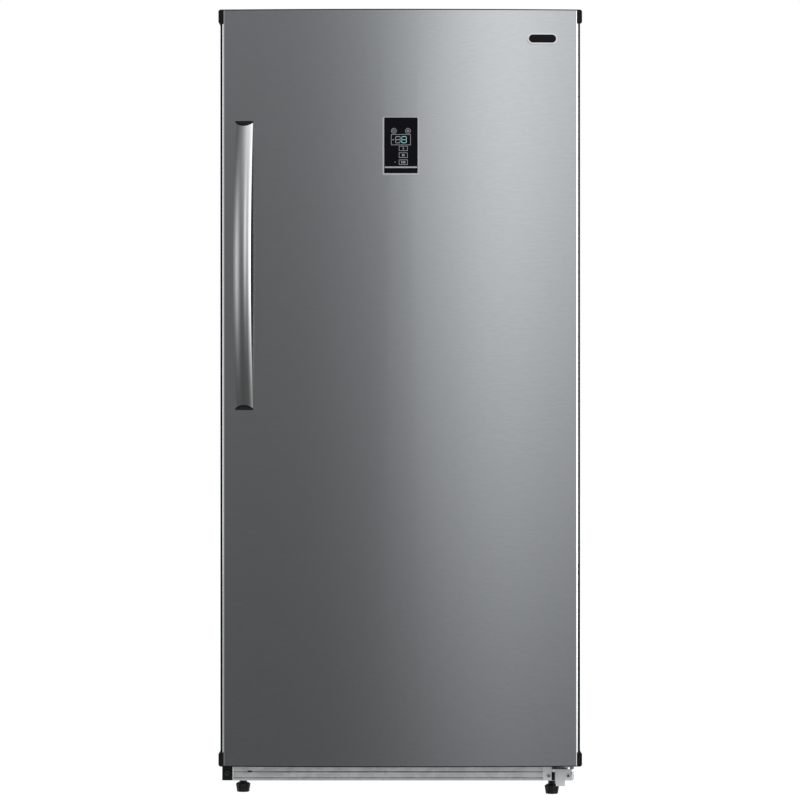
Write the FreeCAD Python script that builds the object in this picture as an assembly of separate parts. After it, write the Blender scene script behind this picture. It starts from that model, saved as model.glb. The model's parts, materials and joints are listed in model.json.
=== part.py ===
"""Upright freezer with one right-hinged door, in millimetres.

X runs to the right as seen from the front, -Y points out of the door, +Z is up. The origin is on the
floor under the middle of the whole freezer. Every piece is a separate solid or a group of equal solids,
one file per piece.
"""

import FreeCAD
import Part

import math
import os

Vector = FreeCAD.Vector
X_AXIS, Y_AXIS, Z_AXIS = Vector(1, 0, 0), Vector(0, 1, 0), Vector(0, 0, 1)

# ---------------------------------------------------------------- driving dimensions
# Heights
BASE_Z = 27.0            # from the floor to the underside of the base frame
BASE_H = 29.0            # from there to the lower edge of the outer case
DOOR_SILL = 6.0          # from there to the door's bottom
DOOR_TOP_Z = 1555.0      # from the floor to the door's top
DOOR_RISE = 22.0         # the door stands this far over the case

# Depths, front to rear
HANDLE_PROUD = 51.0      # from the door's edge plane to the front of the handle
DOOR_T = 56.0            # from the door's edge plane to its flat back
DOOR_CROWN = 12.0        # the middle of the door stands this far in front of its edges
GASKET_T = 12.7
CASE_DEPTH = 610.0
SPACER_T = 14.0          # wall spacers on the back

# Outer case
CASE_W = 710.0
CASE_T = 1.0
CASE_TOP_R = 10.0
WALL_T = 58.0            # outer face of the case to the outer face of the liner, at the sides

# Inner liner (the cavity is its inside)
LINER_T = 2.0
FLOOR_WALL_T = 56.0      # lower edge of the case to the cavity's floor
TOP_WALL_T = 59.0        # top of the case to the cavity's top
CAVITY_REAR_GAP = 73.0   # rear face of the case to the liner
CAVITY_R = 18.0
STEP_WALL_T = 56.0       # top of the machine bay to the top of the step over it
STEP_DEPTH = 205.0       # the step's depth, measured forward from the cavity's rear wall
LEDGE_W = 11.0
LEDGE_H = 9.0
LEDGE_FRONT_GAP = 52.0

# Machine bay behind the step
BAY_H = 206.0
BAY_DEPTH = 222.0
BAY_SHEET_T = 1.0

# Shelves
SHELF_ZS = [600.0, 880.0, 1160.0]
SHELF_GLASS_T = 4.0
SHELF_SIDE_GAP = 1.5
SHELF_FRONT_GAP = 100.0   # from the case front to the front edge of a shelf
SHELF_DEPTH = 350.0
SHELF_TRIM_H = 14.0
SHELF_TRIM_T = 8.0
SHELF_TRIM_R = 3.0

# Evaporator, behind its cover
COVER_T = 2.0
COVER_FRONT_GAP = 58.0    # from the liner's rear wall to the front of the cover
COVER_MARGIN = 2.0
COIL_PASSES = 6
COIL_PITCH = 46.0
COIL_TUBE_R = 4.0
COIL_LENGTH = 430.0
COIL_RISE = 54.0          # from the step to the coil's lowest pass
FIN_COUNT = 10
FIN_T = 0.8
FIN_DEPTH = 42.0
FIN_MARGIN = 20.0
HEATER_R = 4.5
HEATER_DROP = 26.0
BOOT_R = 7.0
BOOT_LENGTH = 20.0
HANGER_T = 2.0
FAN_RISE = 140.0          # from the coil's highest pass to the fan's middle
FAN_R = 52.0
FAN_BLADES = 5
FAN_DEPTH = 22.0
FAN_HUB_R = 16.0
FAN_GAP = 2.0             # between the cover and the fan's front
BLADE_CHORD = 28.0
BLADE_CAMBER = 3.0
BLADE_T = 1.6
BLADE_PITCH = 36.0        # degrees from the fan's plane
FAN_SHAFT_R = 2.0
SHAFT_CLEAR = 0.05
SHAFT_LENGTH = 24.0
SHAFT_END_ROOM = 0.5
MOTOR_GAP = 4.0
MOTOR_R = 22.0
MOTOR_LENGTH = 20.0
MOTOR_BAR_T = 4.0
MOTOR_BAR_H = 12.0
RING_CLEAR = 2.5
RING_T = 3.0
RING_LENGTH = 30.0
FAN_SLOTS = 7
FAN_SLOT_H = 7.0
GRILLE_BAR = 4.0
OUTLET_X = 150.0
OUTLET_W = 100.0
OUTLET_H = 7.0
OUTLET_RISE = 160.0       # from a shelf to the outlets above it
INTAKE_SLOTS = 7
INTAKE_W = 44.0
INTAKE_RISE = 20.0

# Door body
SKIN_T = 1.0
SKIN_CORNER_R = 5.0
SKIN_HEM = 16.0
SIDE_TRIM_T = 4.0
SIDE_TRIM_SETBACK = 4.0
SIDE_TRIM_R = 2.5
CAP_T = 3.0
CAP_RIM_T = 3.0
CAP_LIP = 2.0
CAP_EAR_H = 28.0
CAP_EAR_PROUD = 3.6
CAP_EAR_SETBACK = 0.5
CAP_EAR_CHAMFER = 3.0
HINGE_RECESS = 29.0       # depth of the open recess in the door's top
DOOR_LINER_T = 2.0
DIKE_SIDE_GAP = 16.0      # between the cavity's side and the door liner's side rib
DIKE_W = 39.0
DIKE_H = 60.0
DIKE_CHAMFER = 6.0
DIKE_END_GAP = 22.0       # from the cavity's floor and top to the ends of the ribs
GASKET_EDGE = 27.0        # from the side of the case to the gasket
GASKET_W = 24.0
GASKET_GROOVE = 3.0
GASKET_SEAT = 0.3         # room left between gasket and case in the closed door

# Hinges
HINGE_EDGE = 24.0         # from the side of the case to the hinge line
HINGE_BEHIND_EDGE = 26.0
PIN_R = 4.5
PIN_CLEAR = 0.05
LEAF_T = 3.0
LEAF_SETBACK = 4.0        # from the case front to the top leaf
LEAF_D = 56.0
LEAF_REACH = 62.0         # from the hinge line to the leaf's inner end
LEAF_OUTER = 14.0         # from the hinge line to the leaf's outer end
ARM_HALF_W = 8.0
ARM_CLEAR = 1.0
TOP_PIN_DEPTH = 26.0
LOWER_LEAF_DROP = 12.0    # from the door's bottom to the underside of the lower leaf
LOWER_LEAF_T = 5.0
LOWER_PIN_RISE = 26.0     # from the door's bottom to the pin's end
LOWER_LEAF_REACH = 30.0
LOWER_LEAF_OUTER = 13.0
LOWER_LEAF_R = 6.0
TAB_SHIFT = 14.0          # from the hinge line to the tab's middle
TAB_W = 18.0
TAB_DROP = 6.0
BRACKET_REACH = 47.0      # from the hinge line to the bracket's inner end
BRACKET_CORNER_R = 7.0
BRACKET_SCREW_SET = 11.5
BRACKET_SCREW_RISE = 9.5
PIN_END_ROOM = 8.0
BUSH_WALL = 2.5
BUSH_FLANGE_HALF = 10.0
BUSH_FLANGE_T = 2.5
BUSH_LENGTH = 22.0
HINGE_COVER_H = 18.0
HINGE_COVER_T = 2.0
HINGE_COVER_CHAMFER = 4.0

# Handle
HANDLE_EDGE = 43.5        # from the skin's left edge to the handle's middle
HANDLE_DROP = 220.0       # from the door's top
HANDLE_LENGTH = 570.0
HANDLE_W = 34.7
HANDLE_BULGE = 4.0        # how far the band's front is rounded
HANDLE_EDGE_T = 9.0
HANDLE_BEVEL = 3.0
HANDLE_END_RISE = 5.0     # from the skin to the band's front at its ends
HANDLE_MITRE = 45.0       # degrees between the band's end faces and the skin
BOW_OVERRUN = 3.0         # degrees past each end before the band is trimmed
HANDLE_CAP_T = 1.5
CAP_FLATS = 10
CAP_REACH = 15.0          # half the length of the piece that a cap is cut from
HANDLE_SCREW_SET = 18.0
HANDLE_SCREW_GRIP = 6.0
SCREW_R = 2.5
SCREW_HEAD_R = 5.0
SCREW_HEAD_T = 3.0
HEAD_SIDES = 6
SHANK_SIDES = 8
TUBE_SIDES = 12           # flat sides of small tubes, studs and holes
ROLLER_SIDES = 24
FLAT_TUBE_SIDES = 4
BEND_STEPS = 6            # straight steps in a half-circle bend

# Control panel and badge
PANEL_X = 0.9
PANEL_DROP = 270.3        # from the door's top to the panel's middle
PANEL_W = 71.4
PANEL_H = 114.2
PANEL_PROUD = 2.2
PANEL_R = 3.0
GLASS_W = 65.9
GLASS_H = 109.5
GLASS_SHIFT_X = 0.4
GLASS_SHIFT_Z = 1.3
GLASS_T = 1.4
GLASS_CLEAR = 0.2
GLASS_CHAMFER = 1.0
POCKET_MARGIN = 6.0
POCKET_DEPTH = 24.0
HOUSING_T = 2.0
BOARD_T = 1.6
BOARD_CLEAR = 0.5
BOARD_SETBACK = 8.0
DISPLAY_W = 38.0
DISPLAY_H = 21.0
DISPLAY_RISE = 13.5
PAD_X = 14.0
PAD_RISE = 33.0
PAD_R = 5.0
POST_W = 4.0
BADGE_EDGE = 71.0         # from the skin's right edge to the badge's middle
BADGE_DROP = 58.0
BADGE_W = 60.0
BADGE_H = 22.0
BADGE_T = 2.5
BADGE_RIM = 3.0
BADGE_FIELD_T = 0.8

# Door bins
BIN_COUNT = 4
BIN_FIRST_Z = 180.0
BIN_PITCH = 310.0
BIN_H = 100.0
BIN_DEPTH = 104.0
BIN_WALL = 2.5
BIN_SIDE_GAP = 11.0       # between the door liner's side rib and the bin
BIN_BACK_GAP = 1.5
BIN_RAKE = 14.0           # the bin's front leans out by this much
BIN_SLOT_INSET = 40.0
BIN_SLOT_RISE = 62.0
BIN_SLOT_H = 18.0
LUG_SIZE = 20.0
LUG_PROUD = 8.0
LUG_SET = 26.0            # from the door liner's flat to the lug
LUG_RISE = 58.0
HOOK_CLEAR = 0.4
HOOK_WALL = 3.0
HOOK_OVERLAP = 4.0

# Basket
BASKET_SIDE_GAP = 33.0    # between the cavity's side and the basket
BASKET_FRONT_GAP = 112.0  # from the case front to the basket's front
BASKET_DEPTH = 200.0
BASKET_H = 165.0
BASKET_WALL = 3.0
BASKET_R = 12.0
BASKET_RAIL_W = 7.0       # how far the rim lies on the ledge
BASKET_RAIL_H = 6.0
BASKET_SLOTS = 9
BASKET_SIDE_SLOTS = 3
BASKET_SLOT_W = 16.0
BASKET_SLOT_MARGIN = 28.0
BASKET_SLOT_SILL = 18.0
BASKET_SLOT_HEAD = 55.0
BASKET_GRIP_W = 110.0
BASKET_GRIP_H = 22.0
BASKET_GRIP_DROP = 20.0
BASKET_LIFT = 8.0
BASKET_SLIDE_GAP = 0.4

# Base, feet and rollers
BASE_INSET = 9.0          # from the side of the case to the base's channel
BASE_SHEET_T = 1.2
RAIL_LIP_W = 76.0
BLOCK_W = 21.0            # from the side of the case to the cross beam
BEAM_SWAGE_RISE = 5.0      # from the beam's lower edge to its raised field
BEAM_SWAGE_H = 13.0
BEAM_HEM_H = 3.0
BEAM_PROUD = 1.6
BEAM_SEAT_H = 8.0
BEAM_SEAT_LEFT_W = 84.0
BEAM_SEAT_RIGHT_W = 45.0
BLOCK_DEPTH = 50.0
BLOCK_R = 3.0
BLOCK_SCREW_L = 11.0
NOSE_SETBACK = 7.5
FOOT_LEFT_EDGE = 40.0     # from the side of the case
FOOT_LEFT_BACK = 43.0     # behind the case front
FOOT_RIGHT_EDGE = 52.5
FOOT_RIGHT_BACK = 9.0
FOOT_R = 14.6
FOOT_BASE_R = 12.1
FOOT_H = 19.0
FOOT_RIM_Z = 16.0
FOOT_SHOULDER = 4.0
FOOT_LOBES = 8
LOBE_SHARE = 0.11         # depth of the valleys between the lobes, as a share of the radius
STEM_R = 4.0
STEM_RISE = 23.0          # from the base's underside to the stem's end
STEM_CLEAR = 0.4
NUT_R = 7.5
NUT_H = 8.0
NECK_GAP = 1.5
ROLLER_EDGE = 37.0        # from the side of the case to the roller's middle
ROLLER_R = 13.0
ROLLER_W = 22.0
ROLLER_BACK = 40.0        # from the rear of the case to the axle
AXLE_R = 3.0
AXLE_CLEAR = 0.08
FORK_T = 2.0
FORK_GAP = 1.0
FORK_TAB = 13.0

# Machine bay contents
COMPRESSOR_X = 110.0
COMPRESSOR_R = 62.0
COMPRESSOR_H = 150.0
DOME_H = 26.0
SEAM_RISE = 88.0
SEAM_H = 5.0
SEAM_PROUD = 3.0
TERMINAL_SIZE = 46.0
TERMINAL_PROUD = 22.0
FOOT_PLATE_X = 87.0
FOOT_PLATE_Y = 57.0
FOOT_PLATE_T = 3.0
GROMMET_X = 75.0          # from the compressor's middle to its grommets
GROMMET_Y = 45.0
MOUNT_PLATE_T = 2.5
MOUNT_PLATE_D = 150.0
GROMMET_R = 9.0
GROMMET_H = 14.0
STUD_R = 3.0
STUD_CLEAR = 0.3
STUD_LENGTH = 20.0
TRAY_W = 150.0
TRAY_D = 140.0
TRAY_H = 20.0
TRAY_T = 2.0
TRAY_GAP = 4.0
DRAIN_R = 9.0
DRAIN_T = 1.5
DRAIN_RISE = 8.0
PIPE_R = 3.2
PIPE_BEND = 16.0
DRIER_X = -110.0
DRIER_FORWARD = 36.0      # in front of the compressor's middle
DRIER_RISE = 98.0
DRIER_CHAMFER = 3.0
DRIER_R = 9.5
DRIER_LENGTH = 95.0
CONTROL_BOX_W = 130.0
CONTROL_BOX_D = 90.0
CONTROL_BOX_H = 60.0
CONTROL_BOX_EDGE = 40.0   # from the side of the case
CONTROL_BOX_RISE = 70.0
LID_STEP = 2.0
CONDENSER_R = 2.4
CONDENSER_RUNS = 4
CONDENSER_PITCH = 120.0
CONDENSER_FRONT_GAP = 90.0
CONDENSER_RISE = 68.0     # from the machine bay to the lower bends
CONDENSER_DROP = 133.0    # from the case top to the upper bends
GRILLE_COLUMNS = 10
GRILLE_ROWS = 2
GRILLE_SLOT_W = 44.0
GRILLE_SLOT_H = 18.0
GRILLE_RISE = 56.0
MACHINE_COVER_T = 2.0
COVER_SCREW_SET = 16.0
GLAND_EDGE = 75.0         # from the side of the case
GLAND_RISE = 32.0
GLAND_HALF = 9.0
GLAND_INSIDE = 4.0
GLAND_FLANGE_T = 3.0
GLAND_BORE_R = 4.0
SPACER_X = 197.5
SPACER_W = 40.0
SPACER_H = 60.0
SPACER_DROP = 120.0
SPACER_CHAMFER = 5.0

# Switch and lamp
SWITCH_X = -200.0
SWITCH_W = 36.0
SWITCH_H = 14.0
SWITCH_D = 25.0
GUIDE_R = 5.5
GUIDE_PROUD = 2.0
PLUNGER_R = 3.5
PLUNGER_CLEAR = 0.08
PLUNGER_GAP = 0.4         # from the closed door's back to the tip
PLUNGER_TRAVEL = 6.0
LAMP_W = 110.0
LAMP_D = 64.0
LAMP_H = 18.0
LAMP_T = 2.0
LENS_CLEAR = 0.2
LAMP_BACK = 90.0

# ---------------------------------------------------------------- places worked out from the sizes
TOTAL_DEPTH = HANDLE_PROUD + DOOR_T + GASKET_T + GASKET_SEAT + CASE_DEPTH + SPACER_T
HANDLE_FRONT_Y = -TOTAL_DEPTH / 2
EDGE_Y = HANDLE_FRONT_Y + HANDLE_PROUD
CROWN_Y = EDGE_Y - DOOR_CROWN
DOOR_BACK_Y = EDGE_Y + DOOR_T
CASE_FRONT_Y = DOOR_BACK_Y + GASKET_T + GASKET_SEAT
CASE_REAR_Y = CASE_FRONT_Y + CASE_DEPTH
CASE_BOTTOM_Z = BASE_Z + BASE_H
CASE_TOP_Z = DOOR_TOP_Z - DOOR_RISE
DOOR_BOTTOM_Z = CASE_BOTTOM_Z + DOOR_SILL
CAVITY_FLOOR_Z = CASE_BOTTOM_Z + FLOOR_WALL_T
CAVITY_TOP_Z = CASE_TOP_Z - TOP_WALL_T
BAY_TOP_Z = CASE_BOTTOM_Z + BAY_H
STEP_TOP_Z = BAY_TOP_Z + STEP_WALL_T
CASE_HALF = CASE_W / 2
CAVITY_HALF = CASE_HALF - WALL_T - LINER_T
CAVITY_REAR_Y = CASE_REAR_Y - CAVITY_REAR_GAP - LINER_T
STEP_FRONT_Y = CAVITY_REAR_Y - STEP_DEPTH
BAY_FRONT_Y = CASE_REAR_Y - BAY_DEPTH
COVER_FRONT_Y = CAVITY_REAR_Y - COVER_FRONT_GAP
DECK_Z = CASE_BOTTOM_Z
COIL_BOTTOM_Z = STEP_TOP_Z + COIL_RISE
COIL_TOP_Z = COIL_BOTTOM_Z + (COIL_PASSES - 1) * COIL_PITCH
FAN_Z = COIL_TOP_Z + FAN_RISE
CONDENSER_BOTTOM_Z = BAY_TOP_Z + CONDENSER_RISE
CONDENSER_TOP_Z = CASE_TOP_Z - CONDENSER_DROP
BASE_HALF_W = CASE_HALF - BASE_INSET
BEAM_LEFT_X = BLOCK_W - CASE_HALF
ROLLER_X = CASE_HALF - ROLLER_EDGE
SKIN_HALF = CASE_HALF - SIDE_TRIM_T
SKIN_TOP_Z = DOOR_TOP_Z - CAP_LIP
SKIN_BOTTOM_Z = DOOR_BOTTOM_Z + CAP_LIP
TOP_CAP_FLOOR_Z = DOOR_TOP_Z - HINGE_RECESS
FOAM_TOP_Z = TOP_CAP_FLOOR_Z - CAP_T
FOAM_BOTTOM_Z = DOOR_BOTTOM_Z + CAP_T
HINGE_X = CASE_HALF - HINGE_EDGE
HINGE_Y = EDGE_Y + HINGE_BEHIND_EDGE
TOP_LEAF_Z = CASE_TOP_Z
LOWER_LEAF_Z = DOOR_BOTTOM_Z - LOWER_LEAF_DROP
BRACKET_LEFT_X = HINGE_X - BRACKET_REACH
HANDLE_X = HANDLE_EDGE - SKIN_HALF
BIN_ZS = [BIN_FIRST_Z + BIN_PITCH * i for i in range(BIN_COUNT)]
HANDLE_MIDDLE_Z = DOOR_TOP_Z - HANDLE_DROP - HANDLE_LENGTH / 2
PANEL_Z = DOOR_TOP_Z - PANEL_DROP
BADGE_X = SKIN_HALF - BADGE_EDGE
BADGE_Z = DOOR_TOP_Z - BADGE_DROP
GASKET_OUTER = CASE_HALF - GASKET_EDGE
DIKE_OUTER = CAVITY_HALF - DIKE_SIDE_GAP
BIN_HALF_W = DIKE_OUTER - DIKE_W - BIN_SIDE_GAP
BASKET_HALF_W = CAVITY_HALF - BASKET_SIDE_GAP
GASKET_BOTTOM_Z = CAVITY_FLOOR_Z - (GASKET_OUTER - CAVITY_HALF)
GASKET_TOP_Z = CAVITY_TOP_Z + (GASKET_OUTER - CAVITY_HALF)
SWITCH_Z = (GASKET_TOP_Z + CASE_TOP_Z) / 2
DIKE_BOTTOM_Z = CAVITY_FLOOR_Z + DIKE_END_GAP
DIKE_TOP_Z = CAVITY_TOP_Z - DIKE_END_GAP
BUSH_R = PIN_R + PIN_CLEAR + BUSH_WALL
FAR = 3000.0                 # beyond everything, for cutting tools
MITRED = 1                   # the corner style of a tube along a line of points


# ---------------------------------------------------------------- small helpers
def box(x0, x1, y0, y1, z0, z1):
    """A box between two corners."""
    return Part.makeBox(x1 - x0, y1 - y0, z1 - z0, Vector(x0, y0, z0))


def rod(start, axis, radius, length):
    """A cylinder that starts at a point."""
    return Part.makeCylinder(radius, length, Vector(*start), axis)


def prism(points, axis, length):
    """A straight-sided face pushed along an axis."""
    corners = [Vector(*p) for p in points]
    return Part.Face(Part.makePolygon(corners + corners[:1])).extrude(axis * length)


def fuse(shapes):
    """Join shapes into one solid without leftover seams."""
    shapes = list(shapes)
    return shapes[0].multiFuse(shapes[1:]).removeSplitter()


def cut(shape, tools):
    """Take tools away from a shape."""
    return shape.cut(list(tools))


def both_sides(shape):
    """A shape and its mirror image across the middle plane."""
    return [shape, shape.mirror(Vector(0, 0, 0), X_AXIS)]


def many_sided(start, axis, radius, length, sides):
    """A bar with equal flat sides and its corners on a circle: nuts, heads and small round things."""
    at = Vector(*start)
    across = Y_AXIS if abs(axis.x) > 0.5 else X_AXIS
    other = axis.cross(across)
    turns = [2 * math.pi * i / sides for i in range(sides)]
    corners = [at + across * (radius * math.cos(turn)) + other * (radius * math.sin(turn)) for turn in turns]
    return Part.Face(closed_line(corners)).extrude(axis * length)


def closed_line(corners):
    """The closed line through a list of corners."""
    return Part.makePolygon(corners + corners[:1])


def flat_sided(rings):
    """A solid through rings of corners, one over the other, with a flat side between each two corners."""
    faces = [Part.Face(closed_line(rings[0])), Part.Face(closed_line(rings[-1]))]
    for low, high in zip(rings, rings[1:]):
        for i, corner in enumerate(low):
            faces.append(Part.Face(closed_line([low[i - 1], corner, high[i], high[i - 1]])))
    return Part.makeSolid(Part.makeShell(faces))


def tapered(centre, sides, stages):
    """A many-sided upright body through stages, each a radius and a height."""
    x, y = centre
    turns = [2 * math.pi * i / sides for i in range(sides)]
    return flat_sided([
        [Vector(x + radius * math.cos(turn), y + radius * math.sin(turn), z) for turn in turns]
        for radius, z in stages])


def way_for(start, axis, radius, length, sides):
    """A many-sided hole whose flats just clear a round bar of this radius."""
    return many_sided(start, axis, radius / math.cos(math.pi / sides), length, sides)


def screw_hole(start, axis, length):
    """The hole that a screw's shank fills."""
    return many_sided(start, axis, SCREW_R, length, SHANK_SIDES)


def flat_plate(width, height, thickness, centre):
    """A plate in the XZ plane; centre is the middle of its front face."""
    x, y, z = centre
    return box(x - width / 2, x + width / 2, y, y + thickness, z - height / 2, z + height / 2)


def corner_edges(plate):
    """The four edges through a plate's thickness, along Y."""
    return [e for e in plate.Edges if e.BoundBox.XLength < 1e-6 and e.BoundBox.ZLength < 1e-6]


def rounded_plate(width, height, radius, thickness, centre):
    """A plate with rounded corners in the XZ plane; centre is the middle of its front face."""
    plate = flat_plate(width, height, thickness, centre)
    return plate.makeFillet(radius, corner_edges(plate))


def crown_radius():
    """Radius of the door's crown, from its width between the rounded edges and its height."""
    half = SKIN_HALF - SKIN_CORNER_R
    return (half ** 2 + DOOR_CROWN ** 2) / (2 * DOOR_CROWN)


def crown_at(x):
    """Y of the crowned door skin at a place across its width."""
    return CROWN_Y + crown_radius() - math.sqrt(crown_radius() ** 2 - x ** 2)


def crown_turn(x):
    """Angle, in degrees, by which the skin is turned about Z at a place across its width."""
    return math.degrees(math.asin(x / crown_radius()))


def on_door(shape, x):
    """Turn a shape that was made at x = 0, y = 0 to stand on the crowned skin at x."""
    placed = shape.copy()
    placed.rotate(Vector(0, 0, 0), Z_AXIS, crown_turn(x))
    placed.translate(Vector(x, crown_at(x), 0))
    return placed


def door_plan(inset, back_y, z):
    """Plan view of the door inside its skin by inset: crowned front, rounded corners and straight sides."""
    half = SKIN_HALF - inset
    radius = SKIN_CORNER_R - inset
    flat = SKIN_HALF - SKIN_CORNER_R
    front = EDGE_Y + inset
    side = EDGE_Y + SKIN_CORNER_R
    bend = radius * math.sqrt(0.5)

    def at(x, y):
        return Vector(x, y, z)

    edges = [
        Part.Arc(at(-flat, front), at(0, CROWN_Y + inset), at(flat, front)).toShape(),
        Part.Arc(at(flat, front), at(flat + bend, side - bend), at(half, side)).toShape(),
        Part.makeLine(at(half, side), at(half, back_y)),
        Part.makeLine(at(half, back_y), at(-half, back_y)),
        Part.makeLine(at(-half, back_y), at(-half, side)),
        Part.Arc(at(-half, side), at(-flat - bend, side - bend), at(-flat, front)).toShape(),
    ]
    return Part.Face(Part.Wire(edges))


def door_prism(inset, back_y, z0, z1):
    """The door's plan pushed up between two heights."""
    return door_plan(inset, back_y, z0).extrude(Z_AXIS * (z1 - z0))


def fillet_along(shape, axis_name, radius, keep):
    """Round the straight edges along one axis that pass the keep test on their middle."""
    length = {"X": "XLength", "Y": "YLength", "Z": "ZLength"}[axis_name]
    edges = []
    for edge in shape.Edges:
        size = edge.BoundBox
        run = getattr(size, length)
        others = size.XLength + size.YLength + size.ZLength - run
        if run > 1e-6 and others < 1e-6 and keep(size.Center):
            edges.append(edge)
    return shape.makeFillet(radius, edges)


# ---------------------------------------------------------------- cabinet
def outer_case():
    """Sides and top bent from one sheet, with a flange turned in round the front."""
    shell = box(-CASE_HALF, CASE_HALF, CASE_FRONT_Y, CASE_REAR_Y, CASE_BOTTOM_Z, CASE_TOP_Z)
    shell = fillet_along(shell, "Y", CASE_TOP_R, lambda c: c.z > CASE_TOP_Z - 1)
    hollow = case_inside(CASE_FRONT_Y + CASE_T, CASE_REAR_Y + CASE_T, CASE_BOTTOM_Z - CASE_T)
    mouth_half = CAVITY_HALF + LINER_T
    mouth = box(-mouth_half, mouth_half, CASE_FRONT_Y - CASE_T, CASE_FRONT_Y + 2 * CASE_T,
                CAVITY_FLOOR_Z - LINER_T, CAVITY_TOP_Z + LINER_T)
    return cut(shell, [hollow, mouth, switch_bore()])


def case_inside(y0, y1, z0):
    """The room inside the case's sheet between two depths, above a height."""
    half = CASE_HALF - CASE_T
    room = box(-half, half, y0, y1, z0, CASE_TOP_Z - CASE_T)
    return fillet_along(room, "Y", CASE_TOP_R - CASE_T, lambda c: c.z > CASE_TOP_Z - 2 * CASE_T)


def cavity(grow):
    """The cold room's form with its step at the rear, grown all round except at the open front."""
    front = CASE_FRONT_Y
    half = CAVITY_HALF + grow
    floor, top = CAVITY_FLOOR_Z - grow, CAVITY_TOP_Z + grow
    rear, step = CAVITY_REAR_Y + grow, STEP_FRONT_Y + grow
    step_top = STEP_TOP_Z - grow
    side = [(-half, front, floor), (-half, step, floor), (-half, step, step_top), (-half, rear, step_top),
            (-half, rear, top), (-half, front, top)]
    room = prism(side, X_AXIS, 2 * half)
    radius = CAVITY_R + grow
    return fillet_along(room, "Y", radius, lambda c: c.z > CAVITY_TOP_Z - 1 or c.z < CAVITY_FLOOR_Z + 1)


def ledge(z, depth):
    """Shelf ledge moulded into the liner's left wall, with its top at a height."""
    front = CASE_FRONT_Y + LEDGE_FRONT_GAP
    profile = [(-CAVITY_HALF - LINER_T / 2, 0, z), (-CAVITY_HALF + LEDGE_W, 0, z),
               (-CAVITY_HALF + LEDGE_W, 0, z - LEDGE_H / 3), (-CAVITY_HALF, 0, z - LEDGE_H),
               (-CAVITY_HALF - LINER_T / 2, 0, z - LEDGE_H)]
    return prism([(x, front, zz) for x, _, zz in profile], Y_AXIS, depth)


def inner_liner():
    """Deep-drawn liner: the cavity's wall, open at the front, with shelf and basket ledges."""
    wall = cut(cavity(LINER_T), [cavity(0)])
    shelf_run = SHELF_FRONT_GAP + SHELF_DEPTH - LEDGE_FRONT_GAP
    ledges = [side for z in SHELF_ZS for side in both_sides(ledge(z, shelf_run))]
    basket_run = STEP_FRONT_Y - CASE_FRONT_Y - LEDGE_FRONT_GAP
    ledges += both_sides(ledge(basket_ledge_z(), basket_run))
    return cut(fuse([wall] + ledges), [drain_bore()])


def cabinet_foam():
    """Foamed-in insulation between case, liner, base and machine bay."""
    foam = case_inside(CASE_FRONT_Y + CASE_T, CASE_REAR_Y - CASE_T, DECK_Z + BASE_SHEET_T)
    bay = box(-FAR, FAR, BAY_FRONT_Y, FAR, 0, BAY_TOP_Z)
    return cut(foam, [cavity(LINER_T), bay, drain_bore(), switch_box()] + condenser_grooves())


def rear_panel():
    """Flat steel back, from the machine bay to the top."""
    return case_inside(CASE_REAR_Y - CASE_T, CASE_REAR_Y, BAY_TOP_Z)


def machine_bay_panel():
    """Bent sheet that forms the front wall and the ceiling of the machine bay."""
    half = CASE_HALF - CASE_T
    wall = box(-half, half, BAY_FRONT_Y, BAY_FRONT_Y + BAY_SHEET_T, DECK_Z + BASE_SHEET_T, BAY_TOP_Z)
    ceiling = box(-half, half, BAY_FRONT_Y, CASE_REAR_Y, BAY_TOP_Z - BAY_SHEET_T, BAY_TOP_Z)
    return cut(fuse([wall, ceiling]), [drain_bore()])


def base_pan():
    """Pressed base: a deck under the foam and a channel along each side that carries feet and rollers."""
    outer, lip_inner = -BASE_HALF_W, -BASE_HALF_W + RAIL_LIP_W
    front, sheet = CASE_FRONT_Y + BLOCK_DEPTH, BASE_SHEET_T
    behind_beam = CASE_FRONT_Y + sheet
    deck_top = DECK_Z + sheet
    deck = box(outer, -outer, behind_beam, BAY_FRONT_Y + BAY_SHEET_T, DECK_Z, deck_top)
    web = box(outer, outer + sheet, front, CASE_REAR_Y, BASE_Z, deck_top)
    lip = box(outer, lip_inner, front, CASE_REAR_Y, BASE_Z, BASE_Z + sheet)
    nose = box(outer + NOSE_SETBACK, lip_inner, behind_beam, front, BASE_Z, BASE_Z + sheet)
    seat = box(-CASE_HALF + CASE_T, outer, front, CASE_REAR_Y, DECK_Z, deck_top)
    pan = fuse([deck] + [side for one in (web, lip, nose, seat) for side in both_sides(one)])
    nuts = [many_sided((x, y, BASE_Z + sheet), Z_AXIS, NUT_R, NUT_H, HEAD_SIDES) for x, y in foot_places()]
    holes = [way_for((x, y, 0), Z_AXIS, STEM_R + STEM_CLEAR, DECK_Z, TUBE_SIDES) for x, y in foot_places()]
    return cut(fuse([pan] + nuts), holes)


def front_cross_beam():
    """Galvanised cross beam under the door with a raised field, a hem below and raised seats at both ends."""
    y0, sheet = CASE_FRONT_Y, BASE_SHEET_T
    face = box(BEAM_LEFT_X, BASE_HALF_W - sheet, y0, y0 + sheet, BASE_Z, DECK_Z)
    holes = [screw_hole((x, y0 - 1, z), Y_AXIS, sheet + 2) for x, z in lower_screw_places()]
    hem = box(BEAM_LEFT_X, BRACKET_LEFT_X, y0 - BEAM_PROUD, y0, BASE_Z, BASE_Z + BEAM_HEM_H)
    seats = [box(x0, x1, y0 - BEAM_PROUD, y0, DECK_Z - BEAM_SEAT_H, DECK_Z)
             for x0, x1 in [(BEAM_LEFT_X, BEAM_LEFT_X + BEAM_SEAT_LEFT_W),
                            (BRACKET_LEFT_X - BEAM_SEAT_RIGHT_W, BRACKET_LEFT_X)]]
    return cut(fuse([face, beam_field(), hem] + seats), holes)


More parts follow.
